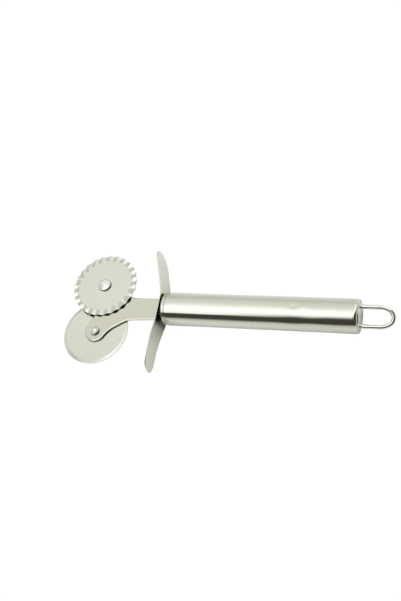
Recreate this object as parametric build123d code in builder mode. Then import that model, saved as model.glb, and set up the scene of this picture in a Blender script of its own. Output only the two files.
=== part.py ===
from build123d import *
import math
import os

os.makedirs("parts", exist_ok=True)

# Two-wheel pastry cutter: a plain and a fluted wheel on a forked arm, a bent
# finger guard, a tubular handle and a wire hanging loop.
# Frame: the origin is on the handle's axis, about the middle of its length,
# +X points along the handle to the hanging loop, +Z is up with the cutter
# lying on a table, +Y points to the side of the fluted wheel. Millimetres.

# ---- driving dimensions -------------------------------------------------
# handle
HANDLE_R = 9.15            # outer radius of the tube
TUBE_WALL = 0.34
HANDLE_LEN = 108.30        # front cap's face to end cap's face
FRONT_LEN = 54.35          # front cap's face to the origin
HEAD_BACK = 0.55           # arm's and guard's reference, behind the front cap's face
FRONT_LIP = 1.75           # front cap's lip, ahead of the tube
REAR_LIP = 0.75            # end cap's height, behind the tube
CURL_L = 1.2               # length of the tube's ends that are rolled in over the caps
CURL_D = 0.30              # how far the rear end is rolled in
FRONT_CURL_D = 0.17        # the same, at the front
CAP_R = 8.98               # outer radius of both caps' lips
CAP_WALL = 0.45
CAP_FIT = 0.03             # radial gap of the caps and the core in the tube
FRONT_SKIRT = 6.0
REAR_SKIRT = 8.0
FRONT_ROUND = 0.70         # rounding of the front cap's lip
BOSS_R = 6.9               # raised middle of the end cap
BOSS_H = 0.45
BOSS_ROUND = 0.35
RIM_ROUND = 1.00           # rounding of the end cap's rim, across the handle
RIM_DEPTH = 0.28           # the same rounding, along the handle
REAR_INNER = 0.30          # rounding inside the end cap

# turns about the handle's axis, from the table's plane
ARM_TURN = -13.8           # arm and wheels
GUARD_TURN = 4.2           # finger guard
LOOP_TURN = 13.5           # hanging loop

# arm
ARM_T = 1.0
ARM_LEAN = 1.8             # lean of the arm in its own plane, degrees
ARM_SHIFT = -0.9           # sideways offset of the arm at the handle's front
PLAIN_AXLE = (-40.85, -13.65)   # plain wheel's axle: along the arm, across it
FLUTED_AXLE = (-40.56, 14.90)   # fluted wheel's axle
LOBE_R = 6.25              # rounded ends of the fork
LOBE_OFF = 0.30            # lobes' middles, behind the axles
NECK_HALF_ROOT = 6.5       # neck half width at the guard
NECK_HALF_FORK = 6.85      # neck half width where the fork starts
NECK_FORK_X = -19.5
NECK_SHIFT = 0.45          # neck's middle line, towards the fluted wheel
FORK_TURN = 32.0           # slope of the fork's straight edges, degrees
LOBE_TURN = 62.0           # slope where the fork's edges run into the lobes
FORK_BOW_R = 15.0          # hollow curve beside each lobe
SHOULDER_X = -4.0
NOTCH_X = -41.0
NOTCH_R = 3.0
TANG_HALF = 4.0
TANG_END = 26.0

# wheels
WHEEL_R = 19.40            # plain wheel
FLUTED_R = 19.22
WHEEL_T = 0.90             # plain wheel
FLUTED_T = 0.50
BORE_R = 2.05
PLAIN_Z = -1.25            # mid plane of the plain wheel, from the arm's mid plane
FLUTED_Z = 1.36            # mid plane of the fluted wheel
BEVEL = 1.9                # width of the grind at the plain wheel's rim
EDGE_T = 0.40
FLUTES = 24
FLUTE_PHASE = 1.3          # turn of the fluted wheel at rest, degrees
FLUTE_START = 15.7
FLUTE_KNEE = 17.5
FLUTE_KNEE_A = 0.30
FLUTE_A = 0.655            # half height of the flutes, carried on to 0.9 past the rim

# rivets
SHANK_R = 2.0
HEAD_R = 3.75
HEAD_H = 1.90
HEAD_RIM = 0.85            # height of the head's straight rim
ROLL_R = 2.75              # rolled end: ring around a groove and a raised middle
ROLL_H = 1.45
ROLL_CREST = 2.32
ROLL_SLOPE_R = 2.00
GROOVE_R = 1.72
GROOVE_H = 1.08            # floor of the groove, above the arm
PIP_H = 1.38               # raised middle, above the arm
PLAY = 0.06                # end play of each wheel
WASHER_R = 4.6
SPACER_R = 4.2

# finger guard
GUARD_T = 0.70
GUARD_TIP_UP = 32.2        # wing tips, along the guard
GUARD_TIP_LOW = -36.1
GUARD_APEX = 2.2           # wing tips' points, off the guard's middle line
# half width along the guard
GUARD_WIDTH = ((-27.0, 6.5), (-19.3, 6.9), (-14.0, 7.7), (-9.0, 8.2), (5.6, 7.55), (22.5, 7.2))
GUARD_UP_X = 27.0          # start of the upper wing's tighter corner
GUARD_LOW_X = -31.0        # start of the lower wing's tighter corner
GUARD_LOW_HALF = 6.35      # half width there

# hanging loop
WIRE_R = 1.15
LEG_HALF = 5.05
LOOP_SHIFT = -0.03         # loop's middle line, from the handle's axis
LOOP_OUT = 17.95           # end cap's face to the loop's outside
LOOP_NOSE = 7.0            # length of the loop's oval end, on the wire's middle line
LOOP_TIP_R = 4.4           # bend radius at the loop's end
PLATE_R = 7.0
PLATE_T = 1.0

# ---- planes ---------------------------------------------------------------
X_FRONT = -FRONT_LEN
X_REAR = HANDLE_LEN - FRONT_LEN
X_RIM = X_REAR - BOSS_H
X_HEAD = X_FRONT + HEAD_BACK


def turned(deg, x):
    """Plane through the handle's axis at x, turned about the axis by deg."""
    a = math.radians(deg)
    return Plane(origin=(x, 0, 0), x_dir=(1, 0, 0), z_dir=(0, -math.sin(a), math.cos(a)))


head = turned(ARM_TURN, X_HEAD)
lean = math.radians(ARM_LEAN)
arm_plane = Plane(
    origin=head.from_local_coords(Vector(0, ARM_SHIFT, 0)),
    x_dir=head.x_dir * math.cos(lean) + head.y_dir * math.sin(lean),
    z_dir=head.z_dir,
)
plain_centre = arm_plane.from_local_coords(Vector(*PLAIN_AXLE, 0))
fluted_centre = arm_plane.from_local_coords(Vector(*FLUTED_AXLE, 0))
# wheel planes: z along the axle, origin on the arm's mid plane
plain_plane = Plane(origin=plain_centre, x_dir=arm_plane.x_dir, z_dir=arm_plane.z_dir)
fluted_plane = Plane(origin=fluted_centre, x_dir=arm_plane.x_dir, z_dir=arm_plane.z_dir)
# section planes through each axle: x is the radius, y is along the axle
plain_section = Plane(origin=plain_centre, x_dir=arm_plane.x_dir, z_dir=-arm_plane.y_dir)
fluted_section = Plane(origin=fluted_centre, x_dir=arm_plane.x_dir, z_dir=-arm_plane.y_dir)
plain_axis = Axis(plain_centre, arm_plane.z_dir)
fluted_axis = Axis(fluted_centre, arm_plane.z_dir)
guard_plane = turned(GUARD_TURN, X_HEAD)
loop_plane = turned(LOOP_TURN, X_REAR)
loop_plane = Plane(origin=loop_plane.from_local_coords(Vector(0, LOOP_SHIFT, 0)), x_dir=loop_plane.x_dir, z_dir=loop_plane.z_dir)
# section plane of the handle: x along the handle, y is the radius
handle_section = Plane(origin=(0, 0, 0), x_dir=(1, 0, 0), z_dir=(0, 0, 1))

TUBE_IN = HANDLE_R - TUBE_WALL
X_TUBE0 = X_FRONT + FRONT_LIP
X_TUBE1 = X_REAR - REAR_LIP
# arcs of the rolled ends, tangent to the tube
def curl_arc(depth):
    r = (CURL_L ** 2 + depth ** 2) / (2 * depth)
    return r, math.asin(CURL_L / r)


def curl(x_end, side, wall, k):
    """Point on a rolled end, k from 0 at the tube to 1 at its edge. side is -1 at the front and 1 at the rear."""
    r, angle = curl_arc(CURL_D if side > 0 else FRONT_CURL_D)
    return (
        x_end - side * CURL_L + side * (r - wall) * math.sin(angle * k),
        HANDLE_R - r + (r - wall) * math.cos(angle * k),
    )


SKIRT_R = curl(X_TUBE1, 1, TUBE_WALL, 1)[1] - CAP_FIT
FRONT_SKIRT_R = curl(X_TUBE0, -1, TUBE_WALL, 1)[1] - CAP_FIT
CORE_R = TUBE_IN - CAP_FIT
ARM_TOP = ARM_T / 2

# ---- handle tube ------------------------------------------------------------
with BuildPart() as handle_tube:
    with BuildSketch(handle_section):
        with BuildLine():
            front_out = [curl(X_TUBE0, -1, 0, k) for k in (1, 0.5, 0)]
            rear_out = [curl(X_TUBE1, 1, 0, k) for k in (0, 0.5, 1)]
            rear_in = [curl(X_TUBE1, 1, TUBE_WALL, k) for k in (1, 0.5, 0)]
            front_in = [curl(X_TUBE0, -1, TUBE_WALL, k) for k in (0, 0.5, 1)]
            ThreePointArc(*front_out)
            Line(front_out[2], rear_out[0])
            ThreePointArc(*rear_out)
            Line(rear_out[2], rear_in[0])
            ThreePointArc(*rear_in)
            Line(rear_in[2], front_in[0])
            ThreePointArc(*front_in)
            Line(front_in[2], front_out[0])
        make_face()
    revolve(axis=Axis.X)
handle_tube.part.label = "handle_tube"
export_step(handle_tube.part, "parts/handle_tube.step")

# ---- front cap: pressed cup with a slot for the tang ---------------------------
with BuildPart() as front_cap:
    with BuildSketch(handle_section):
        with BuildLine():
            Polyline(
                (X_FRONT, 0),
                (X_FRONT, CAP_R),
                (X_TUBE0 - 0.02, CAP_R),
                (X_TUBE0 - 0.02, FRONT_SKIRT_R),
                (X_FRONT + FRONT_SKIRT, FRONT_SKIRT_R),
                (X_FRONT + FRONT_SKIRT, FRONT_SKIRT_R - CAP_WALL),
                (X_FRONT + CAP_WALL, FRONT_SKIRT_R - CAP_WALL),
                (X_FRONT + CAP_WALL, 0),
                close=True,
            )
        make_face()
    revolve(axis=Axis.X)
    fillet(front_cap.edges().filter_by(GeomType.CIRCLE).filter_by(lambda e: e.radius > CAP_R - 0.05).sort_by(Axis.X)[0], FRONT_ROUND)
    with BuildSketch(Plane(origin=arm_plane.origin, x_dir=arm_plane.y_dir, z_dir=arm_plane.x_dir)):
        Rectangle(2 * TANG_HALF + 0.4, ARM_T + 0.3)
    extrude(amount=3, both=True, mode=Mode.SUBTRACT)
front_cap.part.label = "front_cap"
export_step(front_cap.part, "parts/front_cap.step")

# ---- end cap: pressed cup with a raised middle and two holes for the loop's legs --
with BuildPart() as end_cap:
    with BuildSketch(handle_section):
        with BuildLine():
            Line((X_REAR, 0), (X_REAR, BOSS_R - BOSS_ROUND))
            CenterArc((X_REAR - BOSS_ROUND, BOSS_R - BOSS_ROUND), BOSS_ROUND, start_angle=0, arc_size=90)
            Polyline((X_REAR - BOSS_ROUND, BOSS_R), (X_RIM, BOSS_R), (X_RIM, CAP_R - RIM_ROUND))
            EllipticalCenterArc((X_RIM - RIM_DEPTH, CAP_R - RIM_ROUND), RIM_DEPTH, RIM_ROUND, start_angle=0, arc_size=90)
            Polyline(
                (X_RIM - RIM_DEPTH, CAP_R),
                (X_RIM - RIM_DEPTH, SKIRT_R),
                (X_REAR - REAR_SKIRT, SKIRT_R),
                (X_REAR - REAR_SKIRT, SKIRT_R - CAP_WALL),
                (X_RIM - CAP_WALL, SKIRT_R - CAP_WALL),
                (X_RIM - CAP_WALL, BOSS_R - CAP_WALL),
                (X_REAR - CAP_WALL, BOSS_R - CAP_WALL),
                (X_REAR - CAP_WALL, 0),
                (X_REAR, 0),
            )
        make_face()
    revolve(axis=Axis.X)
    fillet(end_cap.edges().filter_by(GeomType.CIRCLE).filter_by(lambda e: abs(e.radius - SKIRT_R + CAP_WALL) < 0.01).sort_by(Axis.X)[-1], REAR_INNER)
    with BuildSketch(Plane(origin=(X_REAR, 0, 0), x_dir=loop_plane.y_dir, z_dir=(1, 0, 0))):
        with Locations((LEG_HALF + LOOP_SHIFT, 0), (LOOP_SHIFT - LEG_HALF, 0)):
            Circle(WIRE_R + 0.02)
    extrude(amount=2, both=True, mode=Mode.SUBTRACT)
end_cap.part.label = "end_cap"
export_step(end_cap.part, "parts/end_cap.step")

# ---- tang core: moulded plug that grips the tang inside the tube -----------------
CORE0 = X_FRONT + CAP_WALL + 0.05
CORE1 = X_FRONT + 28.0
with BuildPart() as tang_core:
    with BuildSketch(handle_section):
        with BuildLine():
            Polyline(
                (CORE0, 0),
                (CORE0, SKIRT_R - CAP_WALL - 0.9),
                (CORE0 + 0.9, SKIRT_R - CAP_WALL - 0.05),
                (X_FRONT + FRONT_SKIRT + 0.1, SKIRT_R - CAP_WALL - 0.05),
                (X_FRONT + FRONT_SKIRT + 0.1, CORE_R),
                (CORE1 - 0.8, CORE_R),
                (CORE1, CORE_R - 0.8),
                (CORE1, 0),
                close=True,
            )
        make_face()
    revolve(axis=Axis.X)
    # slot for the tang, closed at the back
    with BuildSketch(Plane(origin=arm_plane.from_local_coords(Vector(-2, 0, 0)), x_dir=arm_plane.y_dir, z_dir=arm_plane.x_dir)):
        Rectangle(2 * TANG_HALF + 0.04, ARM_T + 0.04)
    extrude(amount=TANG_END + 2.2, mode=Mode.SUBTRACT)
    # two cored holes, one above and one below the tang
    with BuildSketch(Plane(origin=(X_FRONT, 0, 0), x_dir=head.y_dir, z_dir=(1, 0, 0))):
        with Locations((0, 4.5), (0, -4.5)):
            SlotOverall(11.0, 5.2)
    extrude(amount=26.0, mode=Mode.SUBTRACT)
tang_core.part.label = "tang_core"
export_step(tang_core.part, "parts/tang_core.step")


# ---- wheel arm: forked plate with a tang ----------------------------------------
def flip(p):
    return (p[0], -p[1])


def arc_point(c, r, a):
    return (c[0] + r * math.cos(a), c[1] + r * math.sin(a))


class ForkSide:
    """Outline points of one side of the fork. side is 1 for the fluted wheel's, -1 for the plain one's."""

    def __init__(self, axle, side, notch):
        cx, cy = axle[0] + LOBE_OFF, abs(axle[1])
        t0, t1 = math.radians(FORK_TURN), math.radians(LOBE_TURN)
        # where the edge runs into the lobe, and where the hollow curve starts
        into = (cx + LOBE_R * math.sin(t1), cy + LOBE_R * math.cos(t1))
        bow_c = (into[0] + FORK_BOW_R * math.sin(t1), into[1] + FORK_BOW_R * math.cos(t1))
        bow = (bow_c[0] - FORK_BOW_R * math.sin(t0), bow_c[1] - FORK_BOW_R * math.cos(t0))
        # radius of the first arc, so that the straight edge is tangent to both arcs
        tan = math.tan(t0)
        neck_root, neck_fork = NECK_HALF_ROOT + side * NECK_SHIFT, NECK_HALF_FORK + side * NECK_SHIFT
        r = (tan * (NECK_FORK_X - bow[0]) - (bow[1] - neck_fork)) / (tan * math.sin(t0) - (1 - math.cos(t0)))
        root_c = (NECK_FORK_X, neck_fork + r)
        root = [(root_c[0] - r * math.sin(t0 * k), root_c[1] - r * math.cos(t0 * k)) for k in (0, 0.5, 1)]
        mid = (t0 + t1) / 2
        bow_mid = (bow_c[0] - FORK_BOW_R * math.sin(mid), bow_c[1] - FORK_BOW_R * math.cos(mid))
        # tangent from the lobe's far side to the notch between the lobes
        nx, ny = notch[0] - cx, notch[1] * side - cy
        base, off = math.atan2(ny, nx), math.acos(LOBE_R / math.hypot(nx, ny))
        far = min((arc_point((cx, cy), LOBE_R, base + k * off) for k in (1, -1)), key=lambda p: p[0])
        a0 = math.pi / 2 - t1
        a1 = a0 + (math.atan2(far[1] - cy, far[0] - cx) - a0) % (2 * math.pi)
        lobe_mid = arc_point((cx, cy), LOBE_R, (a0 + a1) / 2)
        points = [(SHOULDER_X, TANG_HALF), (SHOULDER_X, neck_root), *root, bow, bow_mid, into, lobe_mid, far]
        self.points = points if side > 0 else [flip(p) for p in points]

    def draw(self):
        tang, shoulder, r0, r1, r2, bow, bow_mid, into, lobe_mid, far = self.points
        Polyline(tang, shoulder, r0)
        ThreePointArc(r0, r1, r2)
        Line(r2, bow)
        ThreePointArc(bow, bow_mid, into)
        ThreePointArc(into, lobe_mid, far)


notch = (NOTCH_X, (PLAIN_AXLE[1] + FLUTED_AXLE[1]) / 2)
plain_side = ForkSide(PLAIN_AXLE, -1, notch)
fluted_side = ForkSide(FLUTED_AXLE, 1, notch)

with BuildPart() as wheel_arm:
    with BuildSketch(arm_plane.offset(-ARM_TOP)):
        with BuildLine():
            fluted_side.draw()
            plain_side.draw()
            Polyline(fluted_side.points[-1], notch, plain_side.points[-1])
            Polyline(
                plain_side.points[0],
                (TANG_END, -TANG_HALF),
                (TANG_END, TANG_HALF),
                fluted_side.points[0],
            )
        make_face()
        with Locations(PLAIN_AXLE, FLUTED_AXLE):
            Circle(SHANK_R + 0.02, mode=Mode.SUBTRACT)
    extrude(amount=ARM_T)
    notch_edge = wheel_arm.edges().filter_by(lambda e: e.geom_type == GeomType.LINE and abs(e.length - ARM_T) < 1e-6).sort_by_distance(
        arm_plane.from_local_coords(Vector(*notch, 0))
    )[0]
    fillet(notch_edge, NOTCH_R)
wheel_arm.part.label = "wheel_arm"
export_step(wheel_arm.part, "parts/wheel_arm.step")

# ---- plain wheel: flat disc with a grind on both sides ----------------------------
half = WHEEL_T / 2


def grind(k, side):
    """Point on the grind, k from 0 at the face to 1 at the rim; side is 1 or -1."""
    return (WHEEL_R - BEVEL * (1 - k), PLAIN_Z + side * (half - (half - EDGE_T / 2) * k))


with BuildPart() as plain_wheel:
    with BuildSketch(plain_section):
        with BuildLine():
            Polyline(
                (BORE_R, PLAIN_Z - half),
                grind(0, -1),
                grind(1, -1),
                grind(1, 1),
                grind(0, 1),
                (BORE_R, PLAIN_Z + half),
                close=True,
            )
        make_face()
    revolve(axis=plain_axis)
plain_wheel.part.label = "plain_wheel"
export_step(plain_wheel.part, "parts/plain_wheel.step")

# ---- fluted wheel: one flute, then the disc with the flutes around it --------------
STEPS = 8
f_half = FLUTED_T / 2


def flute_section(r, amp):
    """Closed outline of one flute at radius r: top wave, side, bottom wave, side."""
    w = r * math.tan(math.pi / FLUTES)
    top = [
        (-w + 2 * w * i / STEPS, -amp * math.cos(2 * math.pi * i / STEPS) + f_half)
        for i in range(STEPS + 1)
    ]
    low = [(x, z - 2 * f_half) for x, z in reversed(top)]
    return top, low


with BuildPart() as flute:
    for r, amp in ((FLUTE_START, 0.0), (FLUTE_KNEE, FLUTE_KNEE_A), (FLUTED_R + 0.9, FLUTE_A)):
        top, low = flute_section(r, amp)
        with BuildSketch(Plane(origin=(r, 0, 0), x_dir=(0, 1, 0), z_dir=(1, 0, 0))):
            with BuildLine():
                Spline(*top, tangents=((1, 0), (1, 0)))
                Line(top[-1], low[0])
                Spline(*low, tangents=((-1, 0), (-1, 0)))
                Line(low[-1], top[0])
            make_face()
    loft(ruled=True)

fluted_rest = Plane(origin=(0, 0, 0), x_dir=(1, 0, 0), z_dir=(0, 0, 1))
with BuildPart() as fluted_blank:
    with BuildSketch(fluted_rest.offset(-f_half)):
        RegularPolygon(FLUTE_START, FLUTES, major_radius=False, rotation=FLUTE_PHASE + 180 / FLUTES)
    extrude(amount=FLUTED_T)
    with PolarLocations(0, FLUTES, start_angle=FLUTE_PHASE):
        add(flute.part)
    with BuildSketch(fluted_rest.offset(-3)):
        Circle(FLUTED_R)
        Circle(BORE_R, mode=Mode.SUBTRACT)
    extrude(amount=6, mode=Mode.INTERSECT)

with BuildPart() as fluted_wheel:
    with Locations(fluted_plane.offset(FLUTED_Z)):
        add(fluted_blank.part)
fluted_wheel.part.label = "fluted_wheel"
export_step(fluted_wheel.part, "parts/fluted_wheel.step")

# ---- rivets: domed head, shank, rolled tubular end -------------------------------
DOME_R = (HEAD_R ** 2 + (HEAD_H - HEAD_RIM) ** 2) / (2 * (HEAD_H - HEAD_RIM))


def dome(r):
    """Height of the domed head at radius r."""
    return HEAD_H - DOME_R + math.sqrt(DOME_R ** 2 - r ** 2)


PIP_R = (GROOVE_R ** 2 + (PIP_H - GROOVE_H) ** 2) / (2 * (PIP_H - GROOVE_H))


def pip(r):
    """Height of the rolled end's raised middle at radius r."""
    return PIP_H - PIP_R + math.sqrt(PIP_R ** 2 - r ** 2)


# plain wheel: head behind the wheel, rolled end on the front of the arm
p_head = PLAIN_Z - half - PLAY
with BuildPart() as plain_wheel_rivet:
    with BuildSketch(plain_section):
        with BuildLine():
            Polyline((0, ARM_TOP + PIP_H), (0, p_head - HEAD_H))
            ThreePointArc((0, p_head - HEAD_H), (HEAD_R / 2, p_head - dome(HEAD_R / 2)), (HEAD_R, p_head - HEAD_RIM))
            Polyline(
                (HEAD_R, p_head - HEAD_RIM),
                (HEAD_R, p_head),
                (SHANK_R, p_head),
                (SHANK_R, ARM_TOP),
                (ROLL_R - 0.08, ARM_TOP),
                (ROLL_R, ARM_TOP + 1.00),
            )
            ThreePointArc((ROLL_R, ARM_TOP + 1.00), (ROLL_CREST, ARM_TOP + ROLL_H), (ROLL_SLOPE_R, ARM_TOP + 1.25))
            Line((ROLL_SLOPE_R, ARM_TOP + 1.25), (GROOVE_R, ARM_TOP + GROOVE_H))
            ThreePointArc((GROOVE_R, ARM_TOP + GROOVE_H), (GROOVE_R / 2, ARM_TOP + pip(GROOVE_R / 2)), (0, ARM_TOP + PIP_H))
        make_face()
    revolve(axis=plain_axis)
plain_wheel_rivet.part.label = "plain_wheel_rivet"
export_step(plain_wheel_rivet.part, "parts/plain_wheel_rivet.step")

# fluted wheel: head on the wheel, rolled end on the back of the arm
f_head = FLUTED_Z + f_half + PLAY
with BuildPart() as fluted_wheel_rivet:
    with BuildSketch(fluted_section):
        with BuildLine():
            Polyline((0, -ARM_TOP - PIP_H), (0, f_head + HEAD_H))
            ThreePointArc((0, f_head + HEAD_H), (HEAD_R / 2, f_head + dome(HEAD_R / 2)), (HEAD_R, f_head + HEAD_RIM))
            Polyline(
                (HEAD_R, f_head + HEAD_RIM),
                (HEAD_R, f_head),
                (SHANK_R, f_head),
                (SHANK_R, -ARM_TOP),
                (ROLL_R - 0.08, -ARM_TOP),
                (ROLL_R, -ARM_TOP - 1.00),
            )
            ThreePointArc((ROLL_R, -ARM_TOP - 1.00), (ROLL_CREST, -ARM_TOP - ROLL_H), (ROLL_SLOPE_R, -ARM_TOP - 1.25))
            Line((ROLL_SLOPE_R, -ARM_TOP - 1.25), (GROOVE_R, -ARM_TOP - GROOVE_H))
            ThreePointArc((GROOVE_R, -ARM_TOP - GROOVE_H), (GROOVE_R / 2, -ARM_TOP - pip(GROOVE_R / 2)), (0, -ARM_TOP - PIP_H))
        make_face()
    revolve(axis=fluted_axis)
fluted_wheel_rivet.part.label = "fluted_wheel_rivet"
export_step(fluted_wheel_rivet.part, "parts/fluted_wheel_rivet.step")

# ---- washer and spacer between the wheels and the arm -----------------------------
WASHER_T = -ARM_TOP - (PLAIN_Z + half) - PLAY
with BuildPart() as plain_wheel_washer:
    with BuildSketch(plain_plane.offset(-ARM_TOP - WASHER_T)):
        Circle(WASHER_R)
        Circle(SHANK_R + 0.03, mode=Mode.SUBTRACT)
    extrude(amount=WASHER_T)
plain_wheel_washer.part.label = "plain_wheel_washer"
export_step(plain_wheel_washer.part, "parts/plain_wheel_washer.step")

SPACER_T = FLUTED_Z - f_half - PLAY - ARM_TOP
with BuildPart() as fluted_wheel_spacer:
    with BuildSketch(fluted_plane.offset(ARM_TOP)):
        Circle(SPACER_R)
        Circle(SHANK_R + 0.03, mode=Mode.SUBTRACT)
    extrude(amount=SPACER_T)
    chamfer(fluted_wheel_spacer.edges().filter_by(GeomType.CIRCLE).filter_by(lambda e: e.radius > SPACER_R - 0.1), 0.2)
fluted_wheel_spacer.part.label = "fluted_wheel_spacer"
export_step(fluted_wheel_spacer.part, "parts/fluted_wheel_spacer.step")

# ---- finger guard: strip bent in its length, with rounded wing tips ----------------
# middle line of the strip, as distance along the handle and along the guard
BEND_UP = (-1.55, 7.7)
BEND_LOW = (-3.50, -9.0)
with BuildPart() as finger_guard:
    with BuildSketch(guard_plane.offset(-12)):
        with BuildLine() as strip:
            ThreePointArc((-7.6, GUARD_TIP_UP + 1.5), (-3.9, 18.9), BEND_UP)
            Line(BEND_UP, BEND_LOW)
            ThreePointArc(BEND_LOW, (-6.05, -20.0), (-8.0, GUARD_TIP_LOW - 1.5))
        trace(line_width=GUARD_T)
    extrude(amount=24)
    # outline of the flat strip
    with BuildSketch(Plane(origin=guard_plane.origin, x_dir=guard_plane.y_dir, z_dir=(1, 0, 0))) as outline:
        with BuildLine():
            top = [(GUARD_UP_X, GUARD_WIDTH[-1][1])] + [w for w in reversed(GUARD_WIDTH)]
            low = [(GUARD_LOW_X, -GUARD_LOW_HALF)] + [flip(w) for w in GUARD_WIDTH]
            (low_v, low_w), (up_v, up_w) = GUARD_WIDTH[0], GUARD_WIDTH[-1]
            Polyline(*top)
            EllipticalCenterArc((low_v, -GUARD_APEX), low_v - GUARD_TIP_LOW, low_w + GUARD_APEX, start_angle=90, arc_size=90)
            EllipticalCenterArc((GUARD_LOW_X, -GUARD_APEX), GUARD_LOW_X - GUARD_TIP_LOW, GUARD_LOW_HALF - GUARD_APEX, start_angle=180, arc_size=90)
            Polyline(*low)
            EllipticalCenterArc((up_v, GUARD_APEX), GUARD_TIP_UP - up_v, up_w + GUARD_APEX, start_angle=270, arc_size=90)
            EllipticalCenterArc((GUARD_UP_X, GUARD_APEX), GUARD_TIP_UP - GUARD_UP_X, up_w - GUARD_APEX, start_angle=0, arc_size=90)
        make_face()
    extrude(amount=14, both=True, mode=Mode.INTERSECT)
    # slot for the tang
    with BuildSketch(Plane(origin=arm_plane.origin, x_dir=arm_plane.y_dir, z_dir=arm_plane.x_dir)):
        Rectangle(2 * TANG_HALF + 0.1, ARM_T + 0.02)
    extrude(amount=12, both=True, mode=Mode.SUBTRACT)
finger_guard.part.label = "finger_guard"
export_step(finger_guard.part, "parts/finger_guard.step")

# ---- hanging loop: U of round wire, legs peened behind the retainer ----------------
PLATE_X1 = -BOSS_H - CAP_WALL - 0.02
PLATE_X0 = PLATE_X1 - PLATE_T
LEG_END = PLATE_X0 - 0.9
ARC_X = LOOP_OUT - WIRE_R - LOOP_NOSE
# oval end: a wide arc from each leg, tangent to a tighter arc at the tip
REACH = LOOP_NOSE - LOOP_TIP_R
SIDE_R = (REACH ** 2 + LEG_HALF ** 2 - LOOP_TIP_R ** 2) / (2 * (LEG_HALF - LOOP_TIP_R))
turn_a = math.atan2(REACH, SIDE_R - LEG_HALF)


def side_arc(k):
    """Point on the wide arc, k from 0 at the leg to 1 at the tip's arc."""
    return (ARC_X + SIDE_R * math.sin(turn_a * k), LEG_HALF - SIDE_R + SIDE_R * math.cos(turn_a * k))


with BuildPart() as hanging_loop:
    with BuildLine(loop_plane) as wire_path:
        Line((LEG_END, LEG_HALF), side_arc(0))
        ThreePointArc(side_arc(0), side_arc(0.5), side_arc(1))
        ThreePointArc(side_arc(1), (ARC_X + LOOP_NOSE, 0), flip(side_arc(1)))
        ThreePointArc(flip(side_arc(1)), flip(side_arc(0.5)), flip(side_arc(0)))
        Line(flip(side_arc(0)), (LEG_END, -LEG_HALF))
    with BuildSketch(Plane(origin=wire_path.line @ 0, z_dir=wire_path.line % 0)):
        Circle(WIRE_R)
    sweep()
    # peened ends
    with BuildSketch(Plane(origin=(X_REAR + LEG_END, 0, 0), x_dir=loop_plane.y_dir, z_dir=(1, 0, 0))):
        with Locations((LEG_HALF + LOOP_SHIFT, 0), (LOOP_SHIFT - LEG_HALF, 0)):
            Circle(WIRE_R + 0.5)
    extrude(amount=0.88)
hanging_loop.part.label = "hanging_loop"
export_step(hanging_loop.part, "parts/hanging_loop.step")

# ---- loop retainer: plate behind the end cap's face ---------------------------------
with BuildPart() as loop_retainer:
    with BuildSketch(Plane(origin=(X_REAR + PLATE_X0, 0, 0), x_dir=loop_plane.y_dir, z_dir=(1, 0, 0))):
        Circle(PLATE_R)
        with Locations((LEG_HALF + LOOP_SHIFT, 0), (LOOP_SHIFT - LEG_HALF, 0)):
            Circle(WIRE_R + 0.02, mode=Mode.SUBTRACT)
    extrude(amount=PLATE_T)
loop_retainer.part.label = "loop_retainer"
export_step(loop_retainer.part, "parts/loop_retainer.step")
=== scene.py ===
import math

import bmesh
import bpy
import numpy as np
from mathutils import Matrix, Vector


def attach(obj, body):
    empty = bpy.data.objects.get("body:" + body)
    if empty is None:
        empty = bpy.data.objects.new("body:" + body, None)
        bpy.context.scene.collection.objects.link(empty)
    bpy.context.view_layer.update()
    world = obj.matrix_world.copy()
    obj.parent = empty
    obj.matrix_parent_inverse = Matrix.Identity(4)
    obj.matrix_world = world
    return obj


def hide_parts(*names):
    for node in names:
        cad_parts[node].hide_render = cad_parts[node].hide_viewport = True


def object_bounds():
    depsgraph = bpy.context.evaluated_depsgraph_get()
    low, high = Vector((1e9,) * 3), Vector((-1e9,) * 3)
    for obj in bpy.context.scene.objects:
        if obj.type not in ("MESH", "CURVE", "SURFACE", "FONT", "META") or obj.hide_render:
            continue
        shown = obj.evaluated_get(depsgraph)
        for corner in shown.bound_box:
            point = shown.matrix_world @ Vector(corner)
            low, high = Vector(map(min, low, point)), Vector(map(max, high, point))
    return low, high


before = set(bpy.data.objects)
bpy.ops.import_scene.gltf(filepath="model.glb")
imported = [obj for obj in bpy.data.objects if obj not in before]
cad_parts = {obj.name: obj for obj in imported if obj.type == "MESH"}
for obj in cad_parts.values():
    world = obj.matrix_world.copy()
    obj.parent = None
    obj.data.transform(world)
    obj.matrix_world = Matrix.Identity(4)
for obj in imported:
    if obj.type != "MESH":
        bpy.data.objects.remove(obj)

cad_lo, cad_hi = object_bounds()
scene = bpy.context.scene
scene.view_settings.view_transform = "Standard"
scene.view_settings.look = "None"
MM = 0.001
TAU = 2 * math.pi

# ---------------------------------------------------------------- dimensions, mm
HANDLE_R, TUBE_WALL = 9.15, 0.34
X_FRONT, X_REAR, X_HEAD = -54.35, 53.95, -53.8
X_TUBE0, X_TUBE1 = -52.6, 53.2
CURL_L, CURL_D, FRONT_CURL_D = 1.2, 0.30, 0.17
CURL_R, FRONT_CURL_R = ((CURL_L ** 2 + d ** 2) / (2 * d) for d in (CURL_D, FRONT_CURL_D))
CURL_A, FRONT_CURL_A = (math.asin(CURL_L / r) for r in (CURL_R, FRONT_CURL_R))
CAP_R, CAP_WALL = 8.98, 0.45
SKIRT_R, FRONT_SKIRT_R = (HANDLE_R - r + (r - TUBE_WALL) * math.cos(a) - 0.03 for r, a in ((CURL_R, CURL_A), (FRONT_CURL_R, FRONT_CURL_A)))
FRONT_SKIRT, REAR_SKIRT = 6.0, 8.0
FRONT_ROUND, REAR_INNER = 0.70, 0.30
BOSS_R, BOSS_H, BOSS_ROUND, RIM_ROUND, RIM_DEPTH = 6.9, 0.45, 0.35, 1.00, 0.28
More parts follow.
